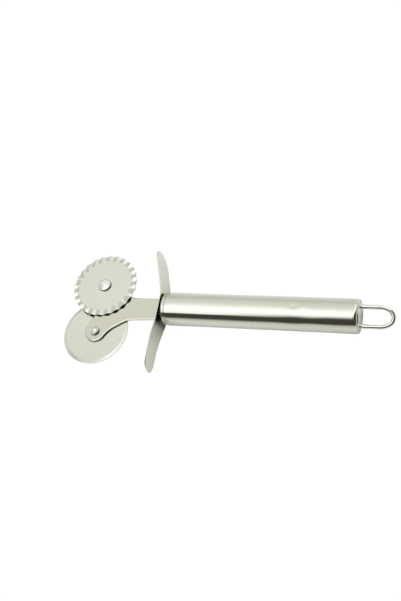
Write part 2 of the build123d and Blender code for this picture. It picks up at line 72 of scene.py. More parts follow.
X_RIM = X_REAR - BOSS_H
ARM_TURN, GUARD_TURN, LOOP_TURN = -13.8, 4.2, 13.5
ARM_T, ARM_LEAN, ARM_SHIFT = 1.0, 1.8, -0.9
PLAIN_AXLE, FLUTED_AXLE = (-40.85, -13.65), (-40.56, 14.90)
LOBE_R, LOBE_OFF = 6.25, 0.30
NECK_HALF_ROOT, NECK_HALF_FORK, NECK_FORK_X, NECK_SHIFT = 6.5, 6.85, -19.5, 0.45
FORK_TURN, LOBE_TURN, FORK_BOW_R = math.radians(32.0), math.radians(62.0), 15.0
SHOULDER_X, NOTCH_X, NOTCH_R = -4.0, -41.0, 3.0
TANG_HALF, TANG_END = 4.0, 26.0
PLAIN_R, FLUTED_R, WHEEL_T, FLUTED_T, BORE_R = 19.40, 19.22, 0.90, 0.50, 2.05
PLAIN_Z, FLUTED_Z = -1.25, 1.36
BEVEL, EDGE_T = 1.9, 0.40
FLUTES, FLUTE_PHASE = 24, 1.3
FLUTE_START, FLUTE_KNEE, FLUTE_KNEE_A, FLUTE_A = 15.7, 17.5, 0.30, 0.655
SHANK_R, HEAD_R, HEAD_H, HEAD_RIM = 2.0, 3.75, 1.90, 0.85
DOME_R = (HEAD_R ** 2 + (HEAD_H - HEAD_RIM) ** 2) / (2 * (HEAD_H - HEAD_RIM))
ROLL_R, ROLL_H, ROLL_CREST, ROLL_SLOPE_R = 2.75, 1.45, 2.32, 2.00
GROOVE_R, GROOVE_H, PIP_H = 1.72, 1.08, 1.38
PIP_R = (GROOVE_R ** 2 + (PIP_H - GROOVE_H) ** 2) / (2 * (PIP_H - GROOVE_H))
PLAY = 0.06
GUARD_T, GUARD_TIP_UP, GUARD_TIP_LOW, GUARD_APEX = 0.70, 32.2, -36.1, 2.2
GUARD_WIDTH = ((-31.0, 6.35), (-27.0, 6.5), (-19.3, 6.9), (-14.0, 7.7), (-9.0, 8.2), (5.6, 7.55), (22.5, 7.2), (27.0, 7.2))
WIRE_R, LEG_HALF, LEG_END, LOOP_SHIFT = 1.15, 5.05, -2.82, -0.03
LOOP_OUT, LOOP_NOSE, LOOP_TIP_R = 17.95, 7.0, 4.4
ARC_X = LOOP_OUT - WIRE_R - LOOP_NOSE
LOOP_REACH = LOOP_NOSE - LOOP_TIP_R
LOOP_SIDE_R = (LOOP_REACH ** 2 + LEG_HALF ** 2 - LOOP_TIP_R ** 2) / (2 * (LEG_HALF - LOOP_TIP_R))
LOOP_TURN_A = math.atan2(LOOP_REACH, LOOP_SIDE_R - LEG_HALF)


# ---------------------------------------------------------------- node helpers
class Nodes:
    """Small helper that adds nodes and links to one node tree."""

    def __init__(self, tree):
        self.tree = tree
        tree.nodes.clear()

    def add(self, kind, **settings):
        n = self.tree.nodes.new(kind)
        inputs = settings.pop("inputs", {})
        for k, v in settings.items():
            setattr(n, k, v)
        for k, v in inputs.items():
            self.put(n, k, v)
        return n

    def put(self, n, key, value):
        socket = n.inputs[key]
        if isinstance(value, bpy.types.NodeSocket):
            self.tree.links.new(value, socket)
        else:
            socket.default_value = value

    def math(self, op, a, b=None, c=None, clamp=False):
        n = self.add("ShaderNodeMath", operation=op, use_clamp=clamp)
        for i, v in enumerate((a, b, c)):
            if v is not None:
                self.put(n, i, v)
        return n.outputs[0]

    def smooth(self, x, a, b, lo=0.0, hi=1.0):
        n = self.add("ShaderNodeMapRange", interpolation_type="SMOOTHSTEP")
        for k, v in (("Value", x), ("From Min", a), ("From Max", b), ("To Min", lo), ("To Max", hi)):
            self.put(n, k, v)
        return n.outputs["Result"]

    def linear(self, x, a, b, lo=0.0, hi=1.0):
        n = self.add("ShaderNodeMapRange", interpolation_type="LINEAR", clamp=True)
        for k, v in (("Value", x), ("From Min", a), ("From Max", b), ("To Min", lo), ("To Max", hi)):
            self.put(n, k, v)
        return n.outputs["Result"]

    def curve(self, x, stops, top, kind="EASE"):
        """Piecewise level over x: stops are (x, level) pairs, levels up to top."""
        lo, hi = stops[0][0], stops[-1][0]
        n = self.add("ShaderNodeValToRGB", inputs={0: self.linear(x, lo, hi)})
        ramp = n.color_ramp
        ramp.interpolation = kind
        while len(ramp.elements) > 2:
            ramp.elements.remove(ramp.elements[-1])
        for i, (at, level) in enumerate(stops):
            pos = (at - lo) / (hi - lo)
            e = ramp.elements[0] if i == 0 else ramp.elements[-1] if i == len(stops) - 1 else ramp.elements.new(pos)
            e.position = pos
            e.color = (level / top, level / top, level / top, 1.0)
        grey = self.add("ShaderNodeSeparateColor", inputs={0: n.outputs["Color"]}).outputs[0]
        return self.math("MULTIPLY", grey, top)


# ---------------------------------------------------------------- studio
FLOOR_Z = cad_lo.z - 0.00003
SOFTBOX_Z = 0.28

# room around the table: pale wall, unlit in front but for a strip above the table's edge
world = bpy.data.worlds.new("studio")
scene.world = world
world.use_nodes = True
w = Nodes(world.node_tree)
w_out = w.add("ShaderNodeOutputWorld")
dx, dy, dz = w.add("ShaderNodeSeparateXYZ", inputs={0: w.add("ShaderNodeTexCoord").outputs["Generated"]}).outputs
tilt = w.math("MULTIPLY", w.math("ARCTAN2", dy, dz), 57.29578)
front = w.curve(tilt, [(-90, 1.00), (-84, 0.78), (-78, 0.36), (-72, 0.12), (-64, 0.065), (-50, 0.075), (-20, 0.10), (90, 0.12)], 1.2)
wall = w.curve(dx, [(-1.0, 0.85), (-0.4, 0.92), (0.2, 1.0), (1.0, 0.95)], 1.2)
behind = w.smooth(dy, -0.30, 0.10)
room = w.math("ADD", w.math("MULTIPLY", wall, behind), w.math("MULTIPLY", front, w.math("SUBTRACT", 1.0, behind)))
seen = w.add("ShaderNodeLightPath").outputs["Is Camera Ray"]
bg = w.add("ShaderNodeBackground", inputs={"Color": (1.0, 1.0, 0.99, 1.0), "Strength": room})
pale = w.add("ShaderNodeBackground", inputs={"Color": (0.93, 0.93, 0.92, 1.0), "Strength": 1.0})
mix = w.add("ShaderNodeMixShader", inputs={0: seen, 1: bg.outputs[0], 2: pale.outputs[0]})
w.put(w_out, "Surface", mix.outputs[0])

# wide softbox close above the table, brightest overhead, fading towards the wall
bpy.ops.mesh.primitive_plane_add(size=1.6, location=(0, 0, SOFTBOX_Z))
softbox = bpy.context.object
softbox.name = "softbox"
softbox.visible_camera = False
sm = bpy.data.materials.new("softbox_cloth")
sm.use_nodes = True
b = Nodes(sm.node_tree)
b_out = b.add("ShaderNodeOutputMaterial")
b_mm = b.add("ShaderNodeVectorMath", operation="MULTIPLY", inputs={0: b.add("ShaderNodeNewGeometry").outputs["Position"], 1: (1000.0, 1000.0, 1000.0)}).outputs[0]
bx, by, bz = b.add("ShaderNodeSeparateXYZ", inputs={0: b_mm}).outputs
b_tilt = b.math("MULTIPLY", b.math("ARCTAN2", by, SOFTBOX_Z * 1000.0), 57.29578)
lit = b.curve(
    b_tilt,
    [(-60, 1.65), (-23, 1.72), (-15, 1.90), (-5, 2.00), (5, 1.92), (17, 1.64), (25, 1.45), (33, 1.29), (41, 1.18), (49, 1.13), (57, 1.10), (65, 1.05), (73, 1.00), (90, 0.95)],
    2.2,
)
# the cloth's slanting front edge, as distance from the handle's axis, and the unlit room below it
edge_y = b.curve(bx, [(-400, 20), (-160, 22), (-125, 33), (-100, 50), (-75, 70), (-45, 82), (-10, 99), (5, 150), (20, 210), (60, 260), (150, 340), (300, 540)], 540.0, "LINEAR")
edge_hi = b.curve(bx, [(-400, 16), (-145, 16), (-100, 85), (-60, 85), (-10, 70), (15, 22), (300, 22)], 540.0, "LINEAR")
edge_lo = b.curve(bx, [(-400, 45), (-145, 45), (-100, 105), (-60, 90), (-10, 70), (15, 22), (300, 22)], 540.0, "LINEAR")
edge = b.smooth(b.math("SUBTRACT", by, b.math("SUBTRACT", edge_y, 240.0)), b.math("MULTIPLY", edge_lo, -1.0), edge_hi)
b_front = b.curve(b_tilt, [(-75, 0.10), (-64, 0.065), (-50, 0.075), (-20, 0.10), (75, 0.12)], 1.2)
# past the cloth's end: the wall
b_wall = b.curve(by, [(-400, 0.05), (-260, 0.06), (-190, 0.35), (-60, 0.80), (50, 1.0), (240, 1.18), (500, 1.05)], 1.2, "LINEAR")
b_slant = b.curve(by, [(-400, 100), (-138, 370), (20, 440), (45, 470), (68, 510), (100, 506), (700, 580)], 700.0, "LINEAR")
b_end = b.smooth(b.math("SUBTRACT", bx, b.math("SUBTRACT", b_slant, 700.0)), -22.0, 22.0)
b_low = b.curve(by, [(200, 0.88), (350, 0.88), (400, 0.66), (500, 0.65)], 1.2, "LINEAR")
b_wall = b.math("MULTIPLY", b_wall, b.smooth(bx, -450.0, -310.0, b_low, 1.0))
b_dim = b.math("MULTIPLY", b.math("MULTIPLY", b.smooth(bx, -282.0, -308.0), b.smooth(bx, -390.0, -345.0)), b.math("MULTIPLY", b.smooth(by, 160.0, 120.0), b.smooth(by, 40.0, 65.0)))
b_wall = b.math("MULTIPLY", b_wall, b.math("MULTIPLY_ADD", b_dim, -0.28, 1.0))
# a second lamp brightens the far right part of the cloth
b_lamp = b.math("MULTIPLY", b.smooth(bx, 0.0, 70.0), b.smooth(by, 40.0, 80.0))
lit = b.math("MULTIPLY", lit, b.math("MULTIPLY_ADD", b_lamp, 0.45, 1.0))
inner = b.math("ADD", b.math("MULTIPLY", lit, edge), b.math("MULTIPLY", b_front, b.math("SUBTRACT", 1.0, edge)))
level = b.math("ADD", b.math("MULTIPLY", inner, b_end), b.math("MULTIPLY", b_wall, b.math("SUBTRACT", 1.0, b_end)))
tint = b.add("ShaderNodeMix", data_type="RGBA")
b.put(tint, 0, b.smooth(level, 1.25, 1.7))
b.put(tint, 6, (1.0, 1.0, 0.99, 1.0))
b.put(tint, 7, (0.995, 0.972, 1.03, 1.0))
shade = b.add("ShaderNodeMix", data_type="RGBA")
b.put(shade, 0, b.smooth(level, 0.45, 0.15))
b.put(shade, 6, tint.outputs[2])
b.put(shade, 7, (1.17, 1.07, 0.91, 1.0))
b.put(b_out, "Surface", b.add("ShaderNodeEmission", inputs={"Color": shade.outputs[2], "Strength": level}).outputs[0])
softbox.data.materials.append(sm)

# table: an even white to the camera; in reflections it shows a painted glow with painted shadows under the object
bpy.ops.mesh.primitive_plane_add(size=6.0, location=(0, 0, FLOOR_Z))
floor = bpy.context.object
floor.name = "table"
fm = bpy.data.materials.new("table_white")
fm.use_nodes = True
f = Nodes(fm.node_tree)
f_out = f.add("ShaderNodeOutputMaterial")
f_bsdf = f.add("ShaderNodeBsdfPrincipled", inputs={"Base Color": (0.80, 0.80, 0.79, 1), "Roughness": 0.9, "Specular IOR Level": 0.1})
f.put(f_bsdf, "Emission Color", (1.0, 1.0, 0.99, 1))
f_mm = f.add("ShaderNodeVectorMath", operation="MULTIPLY", inputs={0: f.add("ShaderNodeNewGeometry").outputs["Position"], 1: (1000.0, 1000.0, 1000.0)}).outputs[0]
fx, fy, fz = f.add("ShaderNodeSeparateXYZ", inputs={0: f_mm}).outputs
# painted shadow on the table under the guard's root and the front cap: its colour and glow are darkened there
f_root_shadow = f.math("MULTIPLY", f.math("MULTIPLY", f.smooth(fx, -66.0, -60.0), f.smooth(fx, -42.0, -48.0)), f.math("MULTIPLY", f.smooth(fy, -11.6, -9.0), f.smooth(fy, 6.0, 0.0)))
f_base = f.math("MULTIPLY_ADD", f_root_shadow, -0.42, 0.80)
f.put(f_bsdf, "Base Color", f.add("ShaderNodeCombineColor", inputs={0: f_base, 1: f_base, 2: f_base}).outputs[0])
# painted glow on the table, seen in reflections: it changes with distance across the handle and is brighter just past
# the rear end
f_near = f.curve(fy, [(-100, 0.46), (-22, 0.43), (-14, 0.27), (-9, 0.18), (9, 0.26), (25, 0.36), (60, 0.26), (100, 0.16)], 1.0)
f_far = f.curve(fy, [(-3000, 0.29), (-400, 0.09), (-100, 0.0), (100, 0.0)], 1.0, "LINEAR")
f_end_glow = f.math("MULTIPLY", f.smooth(fx, 54.0, 57.5), 0.17)
# painted shadows on the table's glow: around the handle's front end and under the end cap
f_shade = f.math("MULTIPLY", f.math("MULTIPLY", f.smooth(fx, -75.0, -60.0), f.smooth(fx, -30.0, -42.0)), f.math("MULTIPLY", f.smooth(fy, -15.0, -10.0), f.smooth(fy, 16.0, 8.0)))
f_dark = f.math("MULTIPLY", f.math("MULTIPLY", f.smooth(fx, 44.0, 50.0), f.smooth(fx, 56.4, 55.2)), f.math("MULTIPLY", f.smooth(fy, -4.0, 3.0), f.smooth(fy, 16.0, 11.0)))
f_glow = f.math("MULTIPLY", f.math("ADD", f.math("ADD", f_near, f_far), f_end_glow), f.math("MULTIPLY", f.math("MULTIPLY_ADD", f_shade, -0.40, 1.0), f.math("MULTIPLY", f.math("MULTIPLY_ADD", f_dark, -0.85, 1.0), f.math("MULTIPLY_ADD", f_root_shadow, -0.60, 1.0))))
f.put(f_bsdf, "Emission Strength", f_glow)
f_white = f.add("ShaderNodeEmission", inputs={"Color": (1.0, 1.0, 0.995, 1), "Strength": 1.02})
f_seen = f.math("MULTIPLY", f.add("ShaderNodeLightPath").outputs["Is Camera Ray"], 0.97)
f_mix = f.add("ShaderNodeMixShader", inputs={0: f_seen, 1: f_bsdf.outputs[0], 2: f_white.outputs[0]})
f.put(f_out, "Surface", f_mix.outputs[0])
floor.data.materials.append(fm)

# ---------------------------------------------------------------- camera
cam_data = bpy.data.cameras.new("camera")
cam = bpy.data.objects.new("camera", cam_data)
scene.collection.objects.link(cam)
cam_data.sensor_width = 36.0
cam_data.sensor_fit = "AUTO"
cam_data.lens = 900.0 * 36.0 / 601.0
cam_data.clip_start = 0.01
cam_data.clip_end = 20.0
right = Vector((0.935, 0.11693, -0.33475)).normalized()
back = Vector((0.353, -0.21709, 0.91005)).normalized()
up = back.cross(right).normalized()
right = up.cross(back).normalized()
m = Matrix((right, up, back)).transposed().to_4x4()
m.translation = Vector((139.68, -101.82, 449.32)) * MM
cam.matrix_world = m
scene.camera = cam


# ---------------------------------------------------------------- places
def unit(v):
    v = np.array(v, float)
    return v / np.linalg.norm(v)


class Place:
    """A local frame in the part's frame, mm."""

    def __init__(self, origin, x, z):
        self.o = np.array(origin, float)
        self.x, self.z = unit(x), unit(z)
        self.y = np.cross(self.z, self.x)

    def at(self, x, y, z=0.0):
        return self.o + self.x * x + self.y * y + self.z * z

    def matrix(self):
        out = Matrix.Identity(4)
        for i, v in enumerate((self.x, self.y, self.z)):
            for k in range(3):
                out[k][i] = v[k]
        for k in range(3):
            out[k][3] = self.o[k] * MM
        return out


def turned(degrees, x):
    a = math.radians(degrees)
    return Place((x, 0, 0), (1, 0, 0), (0, -math.sin(a), math.cos(a)))


head = turned(ARM_TURN, X_HEAD)
lean = math.radians(ARM_LEAN)
arm_place = Place(head.at(0, ARM_SHIFT), head.x * math.cos(lean) + head.y * math.sin(lean), head.z)
plain_place = Place(arm_place.at(*PLAIN_AXLE), arm_place.x, arm_place.z)
fluted_place = Place(arm_place.at(*FLUTED_AXLE), arm_place.x, arm_place.z)
guard_place = turned(GUARD_TURN, X_HEAD)
loop_place = turned(LOOP_TURN, X_REAR)
loop_place.o = loop_place.at(0, LOOP_SHIFT)
# z along the handle, x straight up
handle_place = Place((0, 0, 0), (0, 0, 1), (1, 0, 0))


# ---------------------------------------------------------------- materials
class Surface(Nodes):
    """A metal or plastic finish made of nodes, in the coordinates of a place, mm."""

    def __init__(self, name, place, metallic=1.0):
        self.mat = bpy.data.materials.new(name)
        self.mat.use_nodes = True
        super().__init__(self.mat.node_tree)
        out = self.add("ShaderNodeOutputMaterial")
        self.bsdf = self.add("ShaderNodeBsdfPrincipled", inputs={"Metallic": metallic})
        self.put(out, "Surface", self.bsdf.outputs[0])
        where = self.add("ShaderNodeMapping", vector_type="TEXTURE", inputs={"Vector": self.add("ShaderNodeTexCoord").outputs["Object"]})
        m = place.matrix()
        self.put(where, "Location", m.translation)
        self.put(where, "Rotation", m.to_euler("XYZ"))
        self.put(where, "Scale", (MM, MM, MM))
        self.p = where.outputs[0]

    def stretch(self, vec, by):
        return self.add("ShaderNodeVectorMath", operation="MULTIPLY", inputs={0: vec, 1: by}).outputs[0]

    def turn(self, vec, degrees):
        return self.add("ShaderNodeVectorRotate", rotation_type="Z_AXIS", inputs={"Vector": vec, "Angle": math.radians(degrees)}).outputs[0]

    def noise(self, vec, scale, detail=2.0, rough=0.5, distortion=0.0):
        return self.add(
            "ShaderNodeTexNoise",
            inputs={"Vector": vec, "Scale": scale, "Detail": detail, "Roughness": rough, "Distortion": distortion},
        ).outputs[0]

    def attr(self, name):
        return self.add("ShaderNodeAttribute", attribute_type="GEOMETRY", attribute_name=name).outputs["Fac"]

    def blend(self, fac, a, b):
        n = self.add("ShaderNodeMix", data_type="RGBA")
        self.put(n, 0, fac)
        self.put(n, 6, a if isinstance(a, bpy.types.NodeSocket) else (*a, 1.0))
        self.put(n, 7, b if isinstance(b, bpy.types.NodeSocket) else (*b, 1.0))
        return n.outputs[2]

    def sum(self, start, *terms):
        """start + sum of factor * (value - middle)."""
        total = None
        for value, middle, factor in terms:
            t = self.math("MULTIPLY_ADD", value, factor, -middle * factor)
            total = t if total is None else self.math("ADD", total, t)
        return self.math("ADD", total, start, clamp=True)

    def polar(self):
        """Radius and angle about the piece's own z axis."""
        x, y, z = self.add("ShaderNodeSeparateXYZ", inputs={0: self.p}).outputs
        r = self.math("SQRT", self.math("ADD", self.math("MULTIPLY", x, x), self.math("MULTIPLY", y, y)))
        return r, self.math("ARCTAN2", y, x), z

    def scratches(self, degrees, along=0.05, across=2.2, width=0.010, sparse=0.56):
        """Thin sparse lines, about 1 where a scratch is."""
        v = self.stretch(self.turn(self.p, degrees), (along, across, across))
        n = self.noise(v, 1.0, 1.0, 0.4, 0.15)
        line = self.linear(self.math("ABSOLUTE", self.math("SUBTRACT", n, 0.5)), 0.0, width, 1.0, 0.0)
        spot = self.smooth(self.noise(self.p, 0.16, 2.0), sparse, sparse + 0.08)
        return self.math("MULTIPLY", line, spot)

    def bump(self, height, microns, normal=None):
        n = self.add("ShaderNodeBump", inputs={"Strength": 1.0, "Distance": microns * 1e-6, "Height": height})
        if normal is not None:
            self.put(n, "Normal", normal)
        return n.outputs[0]

    def finish(self, colour, roughness, normal=None):
        self.put(self.bsdf, "Base Color", colour)
        self.put(self.bsdf, "Roughness", roughness)
        if normal is not None:
            self.put(self.bsdf, "Normal", normal)
        return self.mat


STEEL = (0.548, 0.560, 0.474)
GUARD_STEEL = (0.566, 0.578, 0.484)
WHEEL_STEEL = (0.595, 0.614, 0.528)
ARM_STEEL = (0.537, 0.541, 0.440)
RIVET_STEEL = (0.66, 0.675, 0.605)


def tone(base, k, warm=0.0):
    return (base[0] * k + warm, base[1] * k, base[2] * k - warm)


def sheet_steel(name, place, base, rough, degrees=0.0, bevel=None, worn=0.0, cut=0.0):
    """Rolled and brushed sheet: lines along one direction, faint clouds, a few scratches."""
    s = Surface(name, place)
    v = s.turn(s.p, degrees)
    lines = s.noise(s.stretch(v, (0.10, 9.0, 9.0)), 1.0, 4.0, 0.62)
    streak = s.noise(s.stretch(v, (0.035, 1.3, 1.3)), 1.0, 3.0, 0.55)
    cloud = s.noise(s.p, 0.11, 3.0, 0.5)
    mark = s.math("MAXIMUM", s.scratches(degrees + 24.0), s.scratches(degrees - 61.0, sparse=0.60))
    edge = s.attr("edge")
    colour = s.blend(s.sum(0.5, (streak, 0.5, 0.7), (cloud, 0.5, 0.7)), tone(base, 0.97, -0.003), tone(base, 1.03, 0.003))
    colour = s.blend(s.math("MULTIPLY", mark, 0.25), colour, tone(base, 1.10))
    height = s.sum(0.5, (lines, 0.5, 0.8), (mark, 0.0, -0.5))
    rough_value = s.sum(rough, (lines, 0.5, 0.06), (streak, 0.5, 0.05), (cloud, 0.5, 0.05), (mark, 0.0, -0.05), (edge, 0.0, -0.04))
    normal = s.bump(height, 0.4)
    if bevel is not None:
        # ground band: fine arcs around the wheel, a little brighter than the sheet
        r, a, z = s.polar()
        band = s.smooth(r, bevel - 0.2, bevel + 0.3)
        ring = s.noise(s.add("ShaderNodeCombineXYZ", inputs={0: s.math("MULTIPLY", r, 11.0), 1: s.math("MULTIPLY", a, 1.4), 2: z}).outputs[0], 1.0, 4.0, 0.6)
        rough_value = s.math("ADD", rough_value, s.math("MULTIPLY", band, s.math("MULTIPLY_ADD", ring, 0.12, -0.08)))
        colour = s.blend(s.math("MULTIPLY", band, s.linear(ring, 0.35, 0.65)), colour, tone(base, 1.04))
        height = s.math("ADD", s.math("MULTIPLY", height, s.math("SUBTRACT", 1.0, band)), s.math("MULTIPLY", ring, band))
        normal = s.bump(height, 0.6)
    if worn > 0.0:
        # rubbing ring around the rivet
        r, a, z = s.polar()
        rub = s.math("MULTIPLY", s.smooth(r, 5.6, 4.2), s.noise(s.add("ShaderNodeCombineXYZ", inputs={0: s.math("MULTIPLY", r, 6.0), 1: s.math("MULTIPLY", a, 0.8), 2: z}).outputs[0], 1.0, 3.0))
        rough_value = s.math("MULTIPLY_ADD", rub, -worn, rough_value)
    if cut > 0.0:
        # painted shade: the edge walls are darkened towards a quarter of the base tone; only part of it is the walls'
        # own darker shear, the rest stands for the shadow and dark reflection along them
        colour = s.blend(s.math("MULTIPLY", s.smooth(edge, 0.6, 1.0), cut), colour, tone(base, 0.25))
    return s.finish(colour, rough_value, normal)


def tube_steel(name, place, base, rough, shade_face_at=None):
    """Polished tube: faint lines along it, hand marks that only change the gloss."""
    s = Surface(name, place)
    lines = s.noise(s.stretch(s.p, (7.0, 7.0, 0.06)), 1.0, 4.0, 0.6)
    streak = s.noise(s.stretch(s.p, (0.9, 0.9, 0.02)), 1.0, 3.0, 0.5)
    cloud = s.noise(s.stretch(s.p, (0.16, 0.16, 0.10)), 1.0, 4.0, 0.55, 0.6)
    hand = s.smooth(cloud, 0.50, 0.68)
    colour = s.blend(s.sum(0.5, (streak, 0.5, 1.0), (cloud, 0.5, 0.6)), tone(base, 0.97, -0.003), tone(base, 1.03, 0.003))
    rough_value = s.sum(rough, (lines, 0.5, 0.05), (streak, 0.5, 0.05), (hand, 0.0, 0.05), (s.attr("edge"), 0.0, 0.04))
    if shade_face_at is not None:
        # painted shade: the cap's face behind the guard is painted near-black for the dark gap there, and made duller
        r, a, z = s.polar()
        dull_and_shade = s.math("MULTIPLY", s.smooth(z, shade_face_at + 0.12, shade_face_at + 0.03), s.smooth(r, 8.3, 7.6))
        colour = s.blend(dull_and_shade, colour, tone(base, 0.10))
        rough_value = s.math("MULTIPLY_ADD", dull_and_shade, 0.20, rough_value)
    return s.finish(colour, rough_value, s.bump(lines, 0.4))


def wire_steel(name, place, base, rough):
    """Drawn bright wire with fine marks."""
    s = Surface(name, place)
    grain = s.noise(s.p, 9.0, 3.0, 0.6)
    cloud = s.noise(s.p, 0.5, 3.0)
    colour = s.blend(s.sum(0.5, (grain, 0.5, 0.5), (cloud, 0.5, 0.8)), tone(base, 0.95), tone(base, 1.05))
    return s.finish(colour, s.sum(rough, (grain, 0.5, 0.10), (cloud, 0.5, 0.08)), s.bump(grain, 0.6))


def rivet_steel(name, place, base, rough):
    """Tumbled rivet: soft dings from the setting tool over a fine grain."""
    s = Surface(name, place)
    grain = s.noise(s.p, 8.0, 3.0, 0.6)
    ding = s.noise(s.p, 1.1, 2.0, 0.45)
    colour = s.blend(s.sum(0.5, (grain, 0.5, 0.6), (ding, 0.5, 0.6)), tone(base, 0.96), tone(base, 1.04))
    height = s.sum(0.5, (ding, 0.5, 0.9), (grain, 0.5, 0.06))
    # painted shade: the head's rim and the rolled end's outer wall are darkened nearly to black where the edge layer is
    # set; the groove is darkened less
    colour = s.blend(s.math("MULTIPLY", s.attr("edge"), 0.92), colour, tone(base, 0.15))
    return s.finish(colour, s.sum(rough, (grain, 0.5, 0.08), (ding, 0.5, 0.06)), s.bump(height, 3.0))


def turned_steel(name, place, base, rough):
    """Turned washer: a fine grain on its faces."""
    s = Surface(name, place)
    grain = s.noise(s.stretch(s.p, (6.0, 6.0, 6.0)), 1.0, 3.0, 0.6)
    cloud = s.noise(s.p, 0.3, 3.0)
    colour = s.blend(s.sum(0.5, (grain, 0.5, 0.5), (cloud, 0.5, 0.8)), tone(base, 0.92), tone(base, 1.05))
    return s.finish(colour, s.sum(rough, (grain, 0.5, 0.14), (cloud, 0.5, 0.08)), s.bump(grain, 2.0))


def core_plastic(name, place):
    """Moulded core: dark, matte, fine grain."""
    s = Surface(name, place, 0.0)
    grain = s.noise(s.p, 6.0, 3.0, 0.6)
    cloud = s.noise(s.p, 0.25, 3.0)
    colour = s.blend(s.sum(0.5, (grain, 0.5, 0.6), (cloud, 0.5, 0.8)), (0.030, 0.031, 0.032), (0.052, 0.052, 0.050))
    return s.finish(colour, s.sum(0.55, (grain, 0.5, 0.2)), s.bump(grain, 12.0))


# cut sets how dark the painted shade on the edge walls of the arm and the wheels is
mat_arm = sheet_steel("arm_sheet", arm_place, ARM_STEEL, 0.14, cut=0.75)
mat_guard = sheet_steel("guard_sheet", guard_place, GUARD_STEEL, 0.16, degrees=90.0)
mat_plain = sheet_steel("plain_wheel_sheet", plain_place, WHEEL_STEEL, 0.16, degrees=32.0, bevel=PLAIN_R - BEVEL, worn=0.05, cut=0.6)
mat_fluted = sheet_steel("fluted_wheel_sheet", fluted_place, WHEEL_STEEL, 0.14, degrees=-18.0, worn=0.05, cut=0.75)
mat_tube = tube_steel("handle_polish", handle_place, STEEL, 0.10)
mat_cap = tube_steel("cap_polish", handle_place, tone(STEEL, 0.98), 0.11)
# the front cap's face gets painted shade behind the guard
mat_front = tube_steel("front_cap_polish", handle_place, tone(STEEL, 0.98), 0.15, shade_face_at=X_FRONT)
mat_wire = wire_steel("loop_wire", loop_place, (0.630, 0.640, 0.580), 0.11)
mat_rivet = rivet_steel("rivet_tumbled", arm_place, RIVET_STEEL, 0.10)
mat_washer = turned_steel("washer_turned", arm_place, STEEL, 0.34)
mat_plate = turned_steel("plate_turned", loop_place, tone(STEEL, 0.95), 0.36)
mat_core = core_plastic("core_moulded", handle_place)


# ---------------------------------------------------------------- mesh helpers
class Shell:
    """Vertices, faces and openings to fill of one piece, in its own frame, mm."""

    def __init__(self):
        self.v, self.e, self.f, self.fills = [], [], [], []

    def ring(self, points, edge=0.0):
        start = len(self.v)
        for p in points:
            self.v.append(tuple(float(c) for c in p))
            self.e.append(float(edge))
        return list(range(start, len(self.v)))

    def join(self, a, b, closed=True):
        if len(a) == 1 and len(b) == 1:
            return
        if len(a) == 1 or len(b) == 1:
            tip, loop = (a[0], b) if len(a) == 1 else (b[0], a)
            for i in range(len(loop)):
                self.f.append((tip, loop[i], loop[(i + 1) % len(loop)]))
            return
        n = len(a)
        for i in range(n if closed else n - 1):
            j = (i + 1) % n
            self.f.append((a[i], a[j], b[j], b[i]))

    def revolve(self, profile, segs, closed=True, edges=None, shape=None):
        """Rings about z; profile is (r, z) pairs; shape(r, z, angle) may move a point."""
        rings = []
        for k, (r, z) in enumerate(profile):
            e = 0.0 if edges is None else edges[k]
            if r < 1e-6:
                p = (0.0, 0.0, z) if shape is None else shape(0.0, z, 0.0)
                rings.append(self.ring([p], e))
                continue
            pts = []
            for i in range(segs):
                t = TAU * i / segs
                pts.append((r * math.cos(t), r * math.sin(t), z) if shape is None else shape(r, z, t))
            rings.append(self.ring(pts, e))
        for i in range(len(rings) if closed else len(rings) - 1):
            self.join(rings[i], rings[(i + 1) % len(rings)])
        return rings


def soften(points, radii, steps=4, pad=0.05):
    """Closed outline with rounded corners and a point kept just outside each arc."""
    pts = [np.array(p, float) for p in points]
    n = len(pts)
    out, soft = [], []
    for i in range(n):
        r = radii[i]
        if r <= 0:
            out.append(tuple(pts[i]))
            soft.append(0.0)
            continue
        a, b = pts[i - 1] - pts[i], pts[(i + 1) % n] - pts[i]
        la, lb = np.linalg.norm(a), np.linalg.norm(b)
        a, b = a / la, b / lb
        ang = math.acos(max(-1.0, min(1.0, float(a @ b))))
        d = r / math.tan(ang / 2)
        c = pts[i] + unit(a + b) * r / math.sin(ang / 2)
        p0, p1 = pts[i] + a * d, pts[i] + b * d
        a0 = math.atan2(*(p0 - c)[::-1])
        da = (math.atan2(*(p1 - c)[::-1]) - a0 + math.pi) % TAU - math.pi
        if d + pad < la * 0.5:
            out.append(tuple(pts[i] + a * (d + pad)))
            soft.append(0.0)
        for k in range(steps + 1):
            t = a0 + da * k / steps
            out.append((c[0] + r * math.cos(t), c[1] + r * math.sin(t)))
            soft.append(1.0)
        if d + pad < lb * 0.5:
            out.append(tuple(pts[i] + b * (d + pad)))
            soft.append(0.0)
    return out, soft


def build(name, shell, place, body, material, node=None):
    bm = bmesh.new()
    layer = bm.verts.layers.float.new("edge")
    vs = []
    for p, e in zip(shell.v, shell.e):
        v = bm.verts.new(Vector(place.at(*p)) * MM)
        v[layer] = e
        vs.append(v)
    for face in shell.f:
        bm.faces.new([vs[i] for i in face])
    for loops in shell.fills:
        edges = []
        for loop in loops:
            for a, b in zip(loop, loop[1:] + loop[:1]):
                edges.append(bm.edges.get((vs[a], vs[b])) or bm.edges.new((vs[a], vs[b])))
        bmesh.ops.triangle_fill(bm, use_beauty=True, use_dissolve=False, edges=edges)
    bmesh.ops.recalc_face_normals(bm, faces=bm.faces[:])
    for face in bm.faces:
        face.smooth = True
    me = bpy.data.meshes.new(name)
    bm.to_mesh(me)
    bm.free()
    obj = bpy.data.objects.new(name, me)
    scene.collection.objects.link(obj)
    me.materials.append(material)
    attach(obj, body)
    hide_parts(node or name)
    return obj


